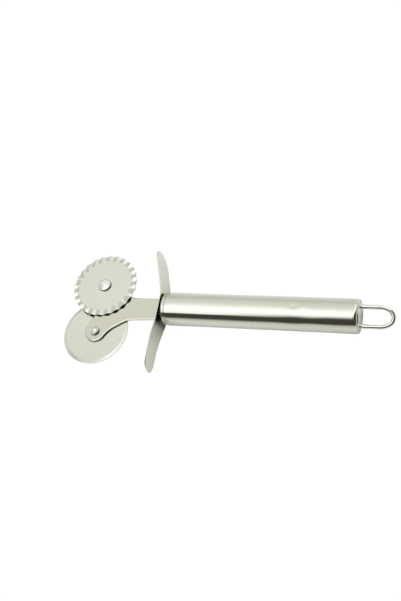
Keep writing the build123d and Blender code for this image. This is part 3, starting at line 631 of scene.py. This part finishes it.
def offsets(outline):
    """Outward directions of a counter-clockwise outline's points, scaled for mitred corners."""
    p = np.array(outline, float)
    d0 = p - np.roll(p, 1, axis=0)
    d1 = np.roll(p, -1, axis=0) - p
    n0 = np.stack([d0[:, 1], -d0[:, 0]], 1) / np.linalg.norm(d0, axis=1)[:, None]
    n1 = np.stack([d1[:, 1], -d1[:, 0]], 1) / np.linalg.norm(d1, axis=1)[:, None]
    b = n0 + n1
    b /= np.linalg.norm(b, axis=1)[:, None]
    scale = 1.0 / np.clip(np.sum(b * n0, axis=1), 0.5, 1.0)
    return p, b * scale[:, None]


def plate(shell, outline, holes, thick, top, low, steps=6):
    """Flat plate with rolled-over top edges. top lists (inset, drop, edge); low is (reach, depth) of a rounding."""
    p, n = offsets(outline)
    t = thick / 2

    def loop(o, z, e):
        q = p - n * o
        return shell.ring([(x, y, z) for x, y in q], e)

    rings = [loop(top[0][0] + 0.06, t, 0.0)] + [loop(o, t - d, e) for o, d, e in top]
    for k in range(steps + 1):
        a = math.pi / 2 * (1 - k / steps)
        rings.append(loop(low[0] * (1 - math.sin(a)), -t + low[1] * (1 - math.cos(a)), min(1.0, 2.0 * (1 - k / steps))))
    rings.append(loop(low[0] + 0.06, -t, 0.0))
    for a, b in zip(rings, rings[1:]):
        shell.join(a, b)
    fill_top, fill_low = [rings[0]], [rings[-1]]
    for cx, cy, r in holes:
        segs = 48

        def circle(radius, z, e):
            return shell.ring([(cx + radius * math.cos(TAU * i / segs), cy + radius * math.sin(TAU * i / segs), z) for i in range(segs)], e)

        hole = [circle(r + 0.14, t, 0.0), circle(r + 0.08, t, 1.0), circle(r, t - 0.08, 1.0), circle(r, -t + 0.08, 1.0), circle(r + 0.08, -t, 1.0), circle(r + 0.14, -t, 0.0)]
        for a, b in zip(hole, hole[1:]):
            shell.join(a, b)
        fill_top.append(hole[0])
        fill_low.append(hole[-1])
    shell.fills += [fill_top, fill_low]


def arc(c, r, a0, a1, n):
    return [(c[0] + r * math.cos(a0 + (a1 - a0) * k / n), c[1] + r * math.sin(a0 + (a1 - a0) * k / n)) for k in range(n + 1)]


def stretch_of(p, q, step):
    n = max(1, int(round(math.dist(p, q) / step)))
    return [(p[0] + (q[0] - p[0]) * k / n, p[1] + (q[1] - p[1]) * k / n) for k in range(n + 1)]


def chain(*runs):
    out = []
    for run in runs:
        for p in run:
            if not out or math.dist(out[-1], p) > 1e-4:
                out.append(p)
    if math.dist(out[0], out[-1]) < 1e-4:
        out.pop()
    return out


ROOT, PLAIN, FLUTED = "handle_assembly", "plain_wheel_body", "fluted_wheel_body"


# ---------------------------------------------------------------- handle tube
def dents(x, phi):
    """Radial error of the thin tube, mm; phi is from straight up towards the back, degrees."""
    d = 0.0
    for cx, cp, sx, sp, depth in (
        (20.0, -35.0, 4.0, 10.0, -0.075),
        (30.0, -34.0, 3.6, 9.0, 0.030),
        (41.0, -34.0, 5.0, 10.0, -0.035),
        (13.5, -21.0, 2.6, 8.0, -0.022),
        (20.5, 13.0, 1.5, 6.0, -0.330),
        (25.0, 10.0, 2.2, 7.0, 0.120),
        (-30.0, 120.0, 5.0, 14.0, -0.030),
        (33.0, -150.0, 4.0, 12.0, -0.035),
        (-8.0, 75.0, 7.0, 16.0, -0.020),
    ):
        dp = (phi - cp + 180.0) % 360.0 - 180.0
        d += depth * math.exp(-0.5 * ((x - cx) / sx) ** 2 - 0.5 * (dp / sp) ** 2)
    f = math.radians(phi)
    d += 0.010 * math.sin(x / 8.5 + 0.7) * math.sin(2 * f + 0.4) + 0.006 * math.sin(x / 4.1 + 3 * f)
    return d * min(1.0, max(0.0, (x - X_TUBE0 - 1.2) / 4.0)) * min(1.0, max(0.0, (X_TUBE1 - 1.2 - x) / 4.0))


def curl(x_end, side, wall, k):
    """Point on a rolled end, k from 0 at the tube to 1 at its edge; side is -1 at the front, 1 at the rear."""
    r, a = (CURL_R, CURL_A) if side > 0 else (FRONT_CURL_R, FRONT_CURL_A)
    return (HANDLE_R - r + (r - wall) * math.cos(a * k), x_end - side * CURL_L + side * (r - wall) * math.sin(a * k))


tube = Shell()
outer = [curl(X_TUBE0, -1, 0.0, 1 - k / 8) for k in range(9)]
x0, x1 = X_TUBE0 + CURL_L, X_TUBE1 - CURL_L
steps = 104
outer += [(HANDLE_R, x0 + (x1 - x0) * k / steps) for k in range(1, steps)]
outer += [curl(X_TUBE1, 1, 0.0, k / 8) for k in range(9)]
inner = [curl(X_TUBE1, 1, TUBE_WALL, 1 - k / 5) for k in range(6)]
inner += [(HANDLE_R - TUBE_WALL, x1 + (x0 - x1) * k / 6) for k in range(1, 6)]
inner += [curl(X_TUBE0, -1, TUBE_WALL, k / 5) for k in range(6)]
n_out = len(outer)


def tube_shape(r, z, t):
    if r > HANDLE_R - 1e-6:
        r = r + dents(z, -math.degrees(t))
    return (r * math.cos(t), r * math.sin(t), z)


edges = [1.0 - min(1.0, abs(z - X_TUBE0) / 1.0) if z < 0 else 1.0 - min(1.0, abs(z - X_TUBE1) / 1.0) for r, z in outer + inner]


def cut(p, q, s):
    """Point just inside the cut end of the tube's wall, between its outer and inner corner."""
    return (p[0] + (q[0] - p[0]) * s, p[1] + (q[1] - p[1]) * s)


rear_cut = [cut(outer[-1], inner[0], s) for s in (0.12, 0.88)]
front_cut = [cut(inner[-1], outer[0], s) for s in (0.12, 0.88)]
profile = outer + rear_cut + inner + front_cut
edges = edges[:n_out] + [1.0, 1.0] + edges[n_out:] + [1.0, 1.0]
tube.revolve(profile, 224, edges=edges, shape=tube_shape)
build("handle_tube_skin", tube, handle_place, ROOT, mat_tube, "handle_tube")


# ---------------------------------------------------------------- caps
def cup(name, outline, radii, face, inside, holes, node, material):
    """Pressed cup about the handle's axis. outline runs from its face around the skirt to its inside;
    face and inside are the (r, z) where the flat discs start; holes are loops of (x, y)."""
    shell = Shell()
    prof, soft = soften(outline, radii, steps=7, pad=0.04)
    rings = shell.revolve(prof, 160, closed=False, edges=soft)
    outer_loops, inner_loops = [rings[0]], [rings[-1]]
    for hole in holes:
        p, n = offsets(hole)
        grow = [shell.ring([(x, y, z) for x, y in p + n * o], e) for o, z, e in (
            (0.09, face, 0.0), (0.06, face, 1.0), (0.0, face + (inside - face) * 0.12, 1.0), (0.0, inside, 1.0))]
        for a, b in zip(grow, grow[1:]):
            shell.join(a, b)
        outer_loops.append(grow[0])
        inner_loops.append(grow[-1])
    shell.fills += [outer_loops, inner_loops]
    return build(name, shell, handle_place, ROOT, material, node)


def handle_xy(y, z):
    """Row coordinates across the handle, in the handle's own frame."""
    return (z, -y)


def circle_loop(place, u, v, r, segs=40):
    out = []
    for i in range(segs):
        q = place.at(0, u + r * math.cos(TAU * i / segs), v + r * math.sin(TAU * i / segs))
        out.append(handle_xy(q[1], q[2]))
    return ccw(out)


def ccw(loop):
    area = sum(a[0] * b[1] - b[0] * a[1] for a, b in zip(loop, loop[1:] + loop[:1]))
    return loop if area > 0 else loop[::-1]


slot_loop = []
for u, v in ((1, 1), (-1, 1), (-1, -1), (1, -1)):
    q = arm_place.at(0, u * (TANG_HALF + 0.2), v * (ARM_T + 0.3) / 2)
    slot_loop.append(handle_xy(q[1], q[2]))
slot_loop = ccw(slot_loop)
slot_loop, _ = soften(slot_loop, [0.3] * 4, steps=4, pad=0.04)
front_outline = [
    (6.9, X_FRONT),
    (CAP_R, X_FRONT),
    (CAP_R, X_TUBE0 - 0.02),
    (FRONT_SKIRT_R, X_TUBE0 - 0.02),
    (FRONT_SKIRT_R, X_FRONT + FRONT_SKIRT),
    (FRONT_SKIRT_R - CAP_WALL, X_FRONT + FRONT_SKIRT),
    (FRONT_SKIRT_R - CAP_WALL, X_FRONT + CAP_WALL),
    (6.9, X_FRONT + CAP_WALL),
]
cup("front_cap_cup", front_outline, [0, FRONT_ROUND, 0.05, 0.05, 0.1, 0.1, 0.3, 0], X_FRONT, X_FRONT + CAP_WALL, [slot_loop], "front_cap", mat_front)
end_outline = [(6.5, X_REAR), (BOSS_R, X_REAR), (BOSS_R, X_RIM)]
end_radii = [0, BOSS_ROUND - 0.05, 0.06]
for k in range(13):
    a = math.pi / 2 * k / 12
    end_outline.append((CAP_R - RIM_ROUND * (1 - math.sin(a)), X_RIM - RIM_DEPTH * (1 - math.cos(a))))
    end_radii.append(0.02 if k == 12 else 0)
end_outline += [
    (SKIRT_R, X_TUBE1 + 0.02),
    (SKIRT_R, X_REAR - REAR_SKIRT),
    (SKIRT_R - CAP_WALL, X_REAR - REAR_SKIRT),
    (SKIRT_R - CAP_WALL, X_RIM - CAP_WALL),
    (BOSS_R - CAP_WALL, X_RIM - CAP_WALL),
    (BOSS_R - CAP_WALL, X_REAR - CAP_WALL),
    (6.3, X_REAR - CAP_WALL),
]
end_radii += [0.05, 0.1, 0.1, REAR_INNER, 0.1, 0.1, 0]
leg_loops = [circle_loop(loop_place, s * LEG_HALF, 0.0, WIRE_R + 0.02) for s in (1, -1)]
cup("end_cap_cup", end_outline, end_radii, X_REAR, X_REAR - CAP_WALL, leg_loops, "end_cap", mat_cap)


# ---------------------------------------------------------------- wheel arm
notch = np.array((NOTCH_X, (PLAIN_AXLE[1] + FLUTED_AXLE[1]) / 2))


def fork_side(axle, side):
    """Outline of one half of the fork, from the shoulder to the lobe's far side, and the lobe's end."""
    cx, cy = axle[0] + LOBE_OFF, abs(axle[1])
    t0, t1 = FORK_TURN, LOBE_TURN
    into = (cx + LOBE_R * math.sin(t1), cy + LOBE_R * math.cos(t1))
    bow_c = (into[0] + FORK_BOW_R * math.sin(t1), into[1] + FORK_BOW_R * math.cos(t1))
    bow = (bow_c[0] - FORK_BOW_R * math.sin(t0), bow_c[1] - FORK_BOW_R * math.cos(t0))
    neck_root, neck_fork = NECK_HALF_ROOT + side * NECK_SHIFT, NECK_HALF_FORK + side * NECK_SHIFT
    r = (math.tan(t0) * (NECK_FORK_X - bow[0]) - (bow[1] - neck_fork)) / (math.tan(t0) * math.sin(t0) - (1 - math.cos(t0)))
    root_c = (NECK_FORK_X, neck_fork + r)
    root_end = (root_c[0] - r * math.sin(t0), root_c[1] - r * math.cos(t0))
    nx, ny = notch[0] - cx, notch[1] * side - cy
    base, off = math.atan2(ny, nx), math.acos(LOBE_R / math.hypot(nx, ny))
    far = min(((cx + LOBE_R * math.cos(base + k * off), cy + LOBE_R * math.sin(base + k * off)) for k in (1, -1)), key=lambda q: q[0])
    a0 = math.pi / 2 - t1
    a1 = a0 + (math.atan2(far[1] - cy, far[0] - cx) - a0) % TAU
    run = chain(
        stretch_of((SHOULDER_X, neck_root), (NECK_FORK_X, neck_fork), 1.0),
        arc(root_c, r, -math.pi / 2, -math.pi / 2 - t0, 14),
        stretch_of(root_end, bow, 0.7),
        arc(bow_c, FORK_BOW_R, -math.pi / 2 - t0, -math.pi / 2 - t1, 16),
        arc((cx, cy), LOBE_R, a0, a1, 56),
    )
    return [(x, y * side) for x, y in run]


fluted_run, plain_run = fork_side(FLUTED_AXLE, 1), fork_side(PLAIN_AXLE, -1)
# the notch between the lobes is rounded
e0, e1 = unit(np.array(fluted_run[-1]) - notch), unit(np.array(plain_run[-1]) - notch)
open_ang = math.acos(float(e0 @ e1)) / 2
n0, n1 = notch + e0 * NOTCH_R / math.tan(open_ang), notch + e1 * NOTCH_R / math.tan(open_ang)
notch_c = notch + unit(e0 + e1) * NOTCH_R / math.sin(open_ang)
b0 = math.atan2(*(n0 - notch_c)[::-1])
b1 = b0 + (math.atan2(*(n1 - notch_c)[::-1]) - b0 + math.pi) % TAU - math.pi
throat = chain(stretch_of(fluted_run[-1], tuple(n0), 0.6), arc(notch_c, NOTCH_R, b0, b1, 16), stretch_of(tuple(n1), plain_run[-1], 0.6))
tang = [(SHOULDER_X, -TANG_HALF), (TANG_END, -TANG_HALF), (TANG_END, TANG_HALF), (SHOULDER_X, TANG_HALF)]
arm_outline = chain(fluted_run, throat, plain_run[::-1], tang)
# sheared edge: the upper side rolls over before the wall
# the third value in each row is the edge weight; near the wall it sets the painted shade there
ARM_ROLL = [(0.60, 0.0, 0.0), (0.54, 0.004, 0.0), (0.48, 0.018, 0.0), (0.42, 0.042, 0.0), (0.14, 0.172, 0.0), (0.08, 0.205, 0.0), (0.04, 0.24, 0.3), (0.01, 0.29, 0.8), (0.0, 0.35, 1.0)]
arm = Shell()
plate(arm, arm_outline, [(*FLUTED_AXLE, SHANK_R + 0.02), (*PLAIN_AXLE, SHANK_R + 0.02)], ARM_T, ARM_ROLL, (0.08, 0.08), steps=7)
build("wheel_arm_plate", arm, arm_place, ROOT, mat_arm, "wheel_arm")

# ---------------------------------------------------------------- plain wheel
half = WHEEL_T / 2


def grind(k):
    """Upper side of the grind, k from 0 at the face to 1 at the rim, with a soft start."""
    g = (k * k / 0.2 if k < 0.1 else k - 0.05) / 0.95
    return (PLAIN_R - BEVEL * (1 - k), half - (half - EDGE_T / 2) * g)


top_side = [(BORE_R, half - 0.10), (BORE_R + 0.03, half - 0.03), (BORE_R + 0.10, half)]
top_side += [(r, half) for r in (BORE_R + 0.16, 3.5, 5.5, 8.0, 11.0, 14.0, 16.0, 17.2)]
top_side += [grind(k) for k in (0.0, 0.025, 0.05, 0.075, 0.1, 0.13, 0.2, 0.35, 0.5, 0.65, 0.8, 0.92, 0.955)]
top_side += [(PLAIN_R - 0.04, EDGE_T / 2 - 0.012), (PLAIN_R - 0.012, EDGE_T / 2 - 0.04), (PLAIN_R, EDGE_T / 2 - 0.08), (PLAIN_R, EDGE_T / 2 - 0.12)]
wheel_profile = top_side + [(r, -z) for r, z in reversed(top_side)]
plain = Shell()
# edge weight 1 on the rim and the bore: the material paints shade there
plain.revolve(wheel_profile, 288, edges=[1.0 if r > PLAIN_R - 0.05 or r < BORE_R + 0.05 else 0.0 for r, z in wheel_profile])
build("plain_wheel_disc", plain, Place(plain_place.at(0, 0, PLAIN_Z), plain_place.x, plain_place.z), PLAIN, mat_plain, "plain_wheel")

# ---------------------------------------------------------------- fluted wheel
WAVE_K = 0.88
f_half = FLUTED_T / 2


def wave(t):
    """Rounded zigzag around the wheel, -1 to 1, crest at the phase angle."""
    return math.asin(WAVE_K * math.cos(FLUTES * (t - math.radians(FLUTE_PHASE)))) / math.asin(WAVE_K)


def flute_height(r):
    if r <= FLUTE_START - 0.2:
        return 0.0
    if r < FLUTE_KNEE + 0.2:
        k = (r - FLUTE_START + 0.2) / (FLUTE_KNEE - FLUTE_START + 0.4)
        return (FLUTE_KNEE_A + 0.01) * k * k * (3 - 2 * k)
    return FLUTE_KNEE_A + (FLUTE_A - FLUTE_KNEE_A) * (r - FLUTE_KNEE) / (FLUTED_R + 0.9 - FLUTE_KNEE)


radii = [BORE_R + 0.10, BORE_R + 0.16, 4.0, 7.0, 10.0, 13.0, 15.0, 15.3] + [15.5 + (FLUTED_R - 0.16 - 15.5) * k / 22 for k in range(23)]
up_side = [(r, f_half) for r in radii] + [(FLUTED_R - 0.10, f_half), (FLUTED_R - 0.03, f_half - 0.03), (FLUTED_R, f_half - 0.10)]
low_side = [(r, -z) for r, z in reversed(up_side)]
ring_profile = [(BORE_R, f_half - 0.10)] + up_side + [(FLUTED_R, 0.0)] + low_side + [(BORE_R, -f_half + 0.10)]


def flute_shape(r, z, t):
    return (r * math.cos(t), r * math.sin(t), z + flute_height(r) * wave(t))


fluted = Shell()
# edge weight 1 on the rim: the material paints shade there
fluted.revolve(ring_profile, FLUTES * 18, edges=[1.0 if r > FLUTED_R - 0.13 else 0.0 for r, z in ring_profile], shape=flute_shape)
build("fluted_wheel_disc", fluted, Place(fluted_place.at(0, 0, FLUTED_Z), fluted_place.x, fluted_place.z), FLUTED, mat_fluted, "fluted_wheel")


# ---------------------------------------------------------------- rivets
def dome(base, sign, n=18):
    """Profile of a domed head from its rim to its top; sign is the side it stands on."""
    out = [(HEAD_R, base + sign * (HEAD_RIM - 0.05)), (HEAD_R - 0.015, base + sign * HEAD_RIM)]
    for k in range(1, n + 1):
        r = HEAD_R * (1 - k / n)
        out.append((r, base + sign * (HEAD_H - DOME_R + math.sqrt(DOME_R ** 2 - r ** 2))))
    return out


def rolled_end(base, sign):
    """Profile of the rolled end, from its raised middle over the ring to the arm's face."""
    pts = [(r, PIP_H - PIP_R + math.sqrt(PIP_R ** 2 - r ** 2)) for r in (0.0, 0.35, 0.7, 1.05, 1.35, 1.55, 1.66)]
    pts += [(GROOVE_R, GROOVE_H + 0.01), (GROOVE_R + 0.05, GROOVE_H + 0.04), (1.85, 1.165)]
    c, ru, rv, h0 = ROLL_CREST, ROLL_R - ROLL_CREST, 0.45, ROLL_H - 0.45
    for k in range(0, 11):
        q = math.radians(150.0 - 150.0 * k / 10)
        pts.append((c + ru * math.cos(q), h0 + rv * math.sin(q)))
    pts += [(ROLL_R, 0.80), (ROLL_R - 0.02, 0.35), (ROLL_R - 0.06, 0.08), (ROLL_R - 0.09, 0.0)]
    return [(r, base + sign * z) for r, z in pts]


def roll_edges(profile, base, sign):
    """Painted-shade weights: 1 on the steep outer wall of the rolled end, less in its groove."""
    out = []
    for r, z in profile:
        if r > ROLL_R - 0.10 and abs(z - base) < 1.02:
            out.append(1.0)
        else:
            out.append(0.62 if 1.60 < r < 1.90 else 0.0)
    return out


def head_shape(base, sign, shift):
    def shape(r, z, t):
        x, y = r * math.cos(t), r * math.sin(t)
        h = sign * (z - base)
        if h > HEAD_RIM:
            k = 1.0 - (r / HEAD_R) ** 2
            x, y = x + shift[0] * k, y + shift[1] * k
        return (x, y, z)

    return shape


p_head = PLAIN_Z - half - PLAY
plain_head = head_shape(p_head, -1, (0.15, -0.1))


def plain_shape(r, z, t):
    x, y, z = plain_head(r, z, t)
    if z > ARM_T / 2 + GROOVE_H and r < GROOVE_R - 0.01:
        k = 1.0 - (r / GROOVE_R) ** 2
        x, y = x - 0.12 * k, y + 0.28 * k
    return (x, y, z)


rivet = Shell()
rolled = rolled_end(ARM_T / 2, 1)
under = [(SHANK_R, ARM_T / 2), (SHANK_R, p_head), (HEAD_R - 0.06, p_head), (HEAD_R, p_head - 0.06)]
cap = dome(p_head, -1)
# edge weights: the rolled end's wall and the head's rim get painted shade
rivet.revolve(
    rolled + under + cap, 96, closed=False, shape=plain_shape,
    edges=roll_edges(rolled, ARM_T / 2, 1) + [0.0, 0.0, 1.0, 1.0] + [1.0, 1.0] + [0.0] * (len(cap) - 2),
)
build("plain_wheel_rivet_body", rivet, plain_place, ROOT, mat_rivet, "plain_wheel_rivet")

f_head = FLUTED_Z + f_half + PLAY
rivet = Shell()
rolled = rolled_end(-ARM_T / 2, -1)
under = [(SHANK_R, -ARM_T / 2), (SHANK_R, f_head), (HEAD_R - 0.06, f_head), (HEAD_R, f_head + 0.06)]
cap = dome(f_head, 1)
# edge weights: the rolled end's wall and the head's rim get painted shade
rivet.revolve(
    rolled + under + cap, 96, closed=False, shape=head_shape(f_head, 1, (-0.95, 1.00)),
    edges=roll_edges(rolled, -ARM_T / 2, -1) + [0.0, 0.0, 1.0, 1.0] + [1.0, 1.0] + [0.0] * (len(cap) - 2),
)
build("fluted_wheel_rivet_body", rivet, fluted_place, ROOT, mat_rivet, "fluted_wheel_rivet")


# ---------------------------------------------------------------- finger guard
def circle_of(p, q, s):
    """Centre and radius of the circle through three points."""
    a = np.array([[q[0] - p[0], q[1] - p[1]], [s[0] - p[0], s[1] - p[1]]]) * 2
    b = np.array([q[0] ** 2 - p[0] ** 2 + q[1] ** 2 - p[1] ** 2, s[0] ** 2 - p[0] ** 2 + s[1] ** 2 - p[1] ** 2])
    c = np.linalg.solve(a, b)
    return c, math.dist(c, p)


BEND_UP, BEND_LOW = (-1.55, 7.7), (-3.50, -9.0)
arcs = []
for p, q, s in (((-7.6, GUARD_TIP_UP + 1.5), (-3.9, 18.9), BEND_UP), (BEND_LOW, (-6.05, -20.0), (-8.0, GUARD_TIP_LOW - 1.5))):
    c, r = circle_of(p, q, s)
    arcs.append((c, r, 1.0 if q[0] > c[0] else -1.0))


def mid_raw(v):
    if BEND_LOW[1] <= v <= BEND_UP[1]:
        k = (v - BEND_LOW[1]) / (BEND_UP[1] - BEND_LOW[1])
        return BEND_LOW[0] + (BEND_UP[0] - BEND_LOW[0]) * k
    c, r, s = arcs[0] if v > 0 else arcs[1]
    return c[0] + s * math.sqrt(max(0.0, r * r - (v - c[1]) ** 2))


# the strip's bends have a radius
table_v = np.arange(GUARD_TIP_LOW - 4.0, GUARD_TIP_UP + 4.0, 0.05)
table_h = np.array([mid_raw(v) for v in table_v])
kernel = np.hanning(61)
kernel /= kernel.sum()
soft_h = np.convolve(np.pad(table_h, 30, mode="edge"), kernel, mode="valid")
soft_h[:80] = table_h[:80]
soft_h[-80:] = table_h[-80:]
slope_h = np.gradient(soft_h, table_v)


def bend(v, q, p):
    h, s = np.interp(v, table_v, soft_h), np.interp(v, table_v, slope_h)
    k = 1.0 / math.hypot(1.0, s)
    return (h + p * k, v - p * s * k, q)


width_v = np.arange(GUARD_TIP_LOW - 4.0, GUARD_TIP_UP + 4.0, 0.05)
width_w = np.interp(width_v, [v for v, q in GUARD_WIDTH], [q for v, q in GUARD_WIDTH])
width_w = np.convolve(np.pad(width_w, 30, mode="edge"), kernel, mode="valid")


def tip_arc(start, tip, side, n=24):
    """Rounded wing tip on one side of the strip: points (v, q) from the long edge to the tip's point."""
    apex = GUARD_APEX if tip > 0 else -GUARD_APEX
    w = side * float(np.interp(start, width_v, width_w)) - apex
    return [(start + (tip - start) * math.sin(math.radians(88.0 * k / n)), apex + w * math.cos(math.radians(88.0 * k / n))) for k in range(n + 1)]


def flank(side, low_start, up_start, count=96):
    """One long edge of the strip with its tips, from the lower tip to the upper one."""
    run = []
    for k in range(1, count):
        v = low_start + (up_start - low_start) * k / count
        run.append((v, side * float(np.interp(v, width_v, width_w))))
    return tip_arc(low_start, GUARD_TIP_LOW, side)[::-1] + run + tip_arc(up_start, GUARD_TIP_UP, side)


upper, lower = flank(1.0, -27.0, 27.0), flank(-1.0, -31.0, 22.5)
ROWS, ACROSS = len(upper), 16


def across(p, q):
    return [(p[0] + (q[0] - p[0]) * k / ACROSS, p[1] + (q[1] - p[1]) * k / ACROSS) for k in range(1, ACROSS)]


# outline, counter-clockwise: lower side, upper end, upper side, lower end
outline = lower + across(lower[-1], upper[-1]) + upper[::-1] + across(upper[0], lower[0])
op, on = offsets(outline)
guard = Shell()
ROUND = 0.30


def guard_loop(o, p, e):
    q = op - on * o
    return guard.ring([bend(v, u, p) for v, u in q], e)


loops = []
for k in range(9):
    a = math.pi * k / 8
    loops.append(guard_loop(ROUND * (1 - math.sin(a)), GUARD_T / 2 * math.cos(a), 1.0 if 0 < k < 8 else 0.3))
for a, b in zip(loops, loops[1:]):
    guard.join(a, b)
for base, p in ((loops[0], GUARD_T / 2), (loops[-1], -GUARD_T / 2)):
    rows = []
    inner_pts = op - on * ROUND
    for i in range(ROWS):
        j = 2 * ROWS + ACROSS - 1 - 1 - i
        lo_i, hi_i = base[i], base[j]
        v_a, q_a = inner_pts[i]
        v_b, q_b = inner_pts[j]
        if i == 0:
            mids = base[2 * ROWS + ACROSS - 1:][::-1]
        elif i == ROWS - 1:
            mids = base[ROWS:ROWS + ACROSS - 1]
        else:
            mids = guard.ring([bend(v_a + (v_b - v_a) * k / ACROSS, q_a + (q_b - q_a) * k / ACROSS, p) for k in range(1, ACROSS)])
        rows.append([lo_i] + list(mids) + [hi_i])
    for a, b in zip(rows, rows[1:]):
        guard.join(a, b, closed=False)
guard_obj = build("finger_guard_strip", guard, guard_place, ROOT, mat_guard, "finger_guard")

# slot for the tang, cut square
cutter = bmesh.new()
for sx in (-10.0, 10.0):
    for u, v in ((1, 1), (-1, 1), (-1, -1), (1, -1)):
        cutter.verts.new(Vector(arm_place.at(sx, u * (TANG_HALF + 0.05), v * (ARM_T / 2 + 0.01))) * MM)
cutter.verts.ensure_lookup_table()
cv = cutter.verts
for quad in ((3, 2, 1, 0), (4, 5, 6, 7), (0, 1, 5, 4), (1, 2, 6, 5), (2, 3, 7, 6), (3, 0, 4, 7)):
    cutter.faces.new([cv[i] for i in quad])
bmesh.ops.recalc_face_normals(cutter, faces=cutter.faces[:])
cut_me = bpy.data.meshes.new("tang_slot_cutter")
cutter.to_mesh(cut_me)
cutter.free()
cut_obj = bpy.data.objects.new("tang_slot_cutter", cut_me)
scene.collection.objects.link(cut_obj)
bpy.context.view_layer.update()
mod = guard_obj.modifiers.new("slot", "BOOLEAN")
mod.operation = "DIFFERENCE"
mod.solver = "EXACT"
mod.object = cut_obj
deps = bpy.context.evaluated_depsgraph_get()
slotted = bpy.data.meshes.new_from_object(guard_obj.evaluated_get(deps))
guard_obj.modifiers.clear()
guard_obj.data = slotted
slotted.set_sharp_from_angle(angle=math.radians(42.0))
bpy.data.objects.remove(cut_obj)

# ---------------------------------------------------------------- hanging loop
path = []
for x, r in ((LEG_END, 0.0), (LEG_END, 1.0), (LEG_END + 0.06, 1.35), (LEG_END + 0.2, 1.55), (LEG_END + 0.45, 1.6), (LEG_END + 0.72, 1.55), (LEG_END + 0.86, 1.38), (LEG_END + 0.88, 1.2), (LEG_END + 0.90, WIRE_R)):
    path.append(((x, LEG_HALF), (1.0, 0.0), r))
for k in range(1, 15):
    path.append(((LEG_END + 0.90 + (ARC_X - LEG_END - 0.90) * k / 15, LEG_HALF), (1.0, 0.0), WIRE_R))
for k in range(0, 13):
    a = LOOP_TURN_A * k / 12
    path.append(((ARC_X + LOOP_SIDE_R * math.sin(a), LEG_HALF - LOOP_SIDE_R + LOOP_SIDE_R * math.cos(a)), (math.cos(a), -math.sin(a)), WIRE_R))
half_path = list(path)
for k in range(1, 36):
    a = LOOP_TURN_A + (math.pi - 2 * LOOP_TURN_A) * k / 36
    path.append(((ARC_X + LOOP_REACH + LOOP_TIP_R * math.sin(a), LOOP_TIP_R * math.cos(a)), (math.cos(a), -math.sin(a)), WIRE_R))
path += [((x, -y), (-tx, ty), r) for (x, y), (tx, ty), r in reversed(half_path)]
loop = Shell()
rings = []
for (x, y), (tx, ty), r in path:
    if r == 0.0:
        rings.append(loop.ring([(x, y, 0.0)]))
        continue
    side_v = (-ty, tx)
    rings.append(loop.ring([(x + side_v[0] * r * math.cos(TAU * i / 32), y + side_v[1] * r * math.cos(TAU * i / 32), r * math.sin(TAU * i / 32)) for i in range(32)]))
for a, b in zip(rings, rings[1:]):
    loop.join(a, b)
build("hanging_loop_wire", loop, loop_place, ROOT, mat_wire, "hanging_loop")

# ---------------------------------------------------------------- carried-over pieces
for name, mat in (("plain_wheel_washer", mat_washer), ("fluted_wheel_spacer", mat_washer), ("loop_retainer", mat_plate), ("tang_core", mat_core)):
    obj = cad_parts[name]
    obj.data.materials.clear()
    obj.data.materials.append(mat)
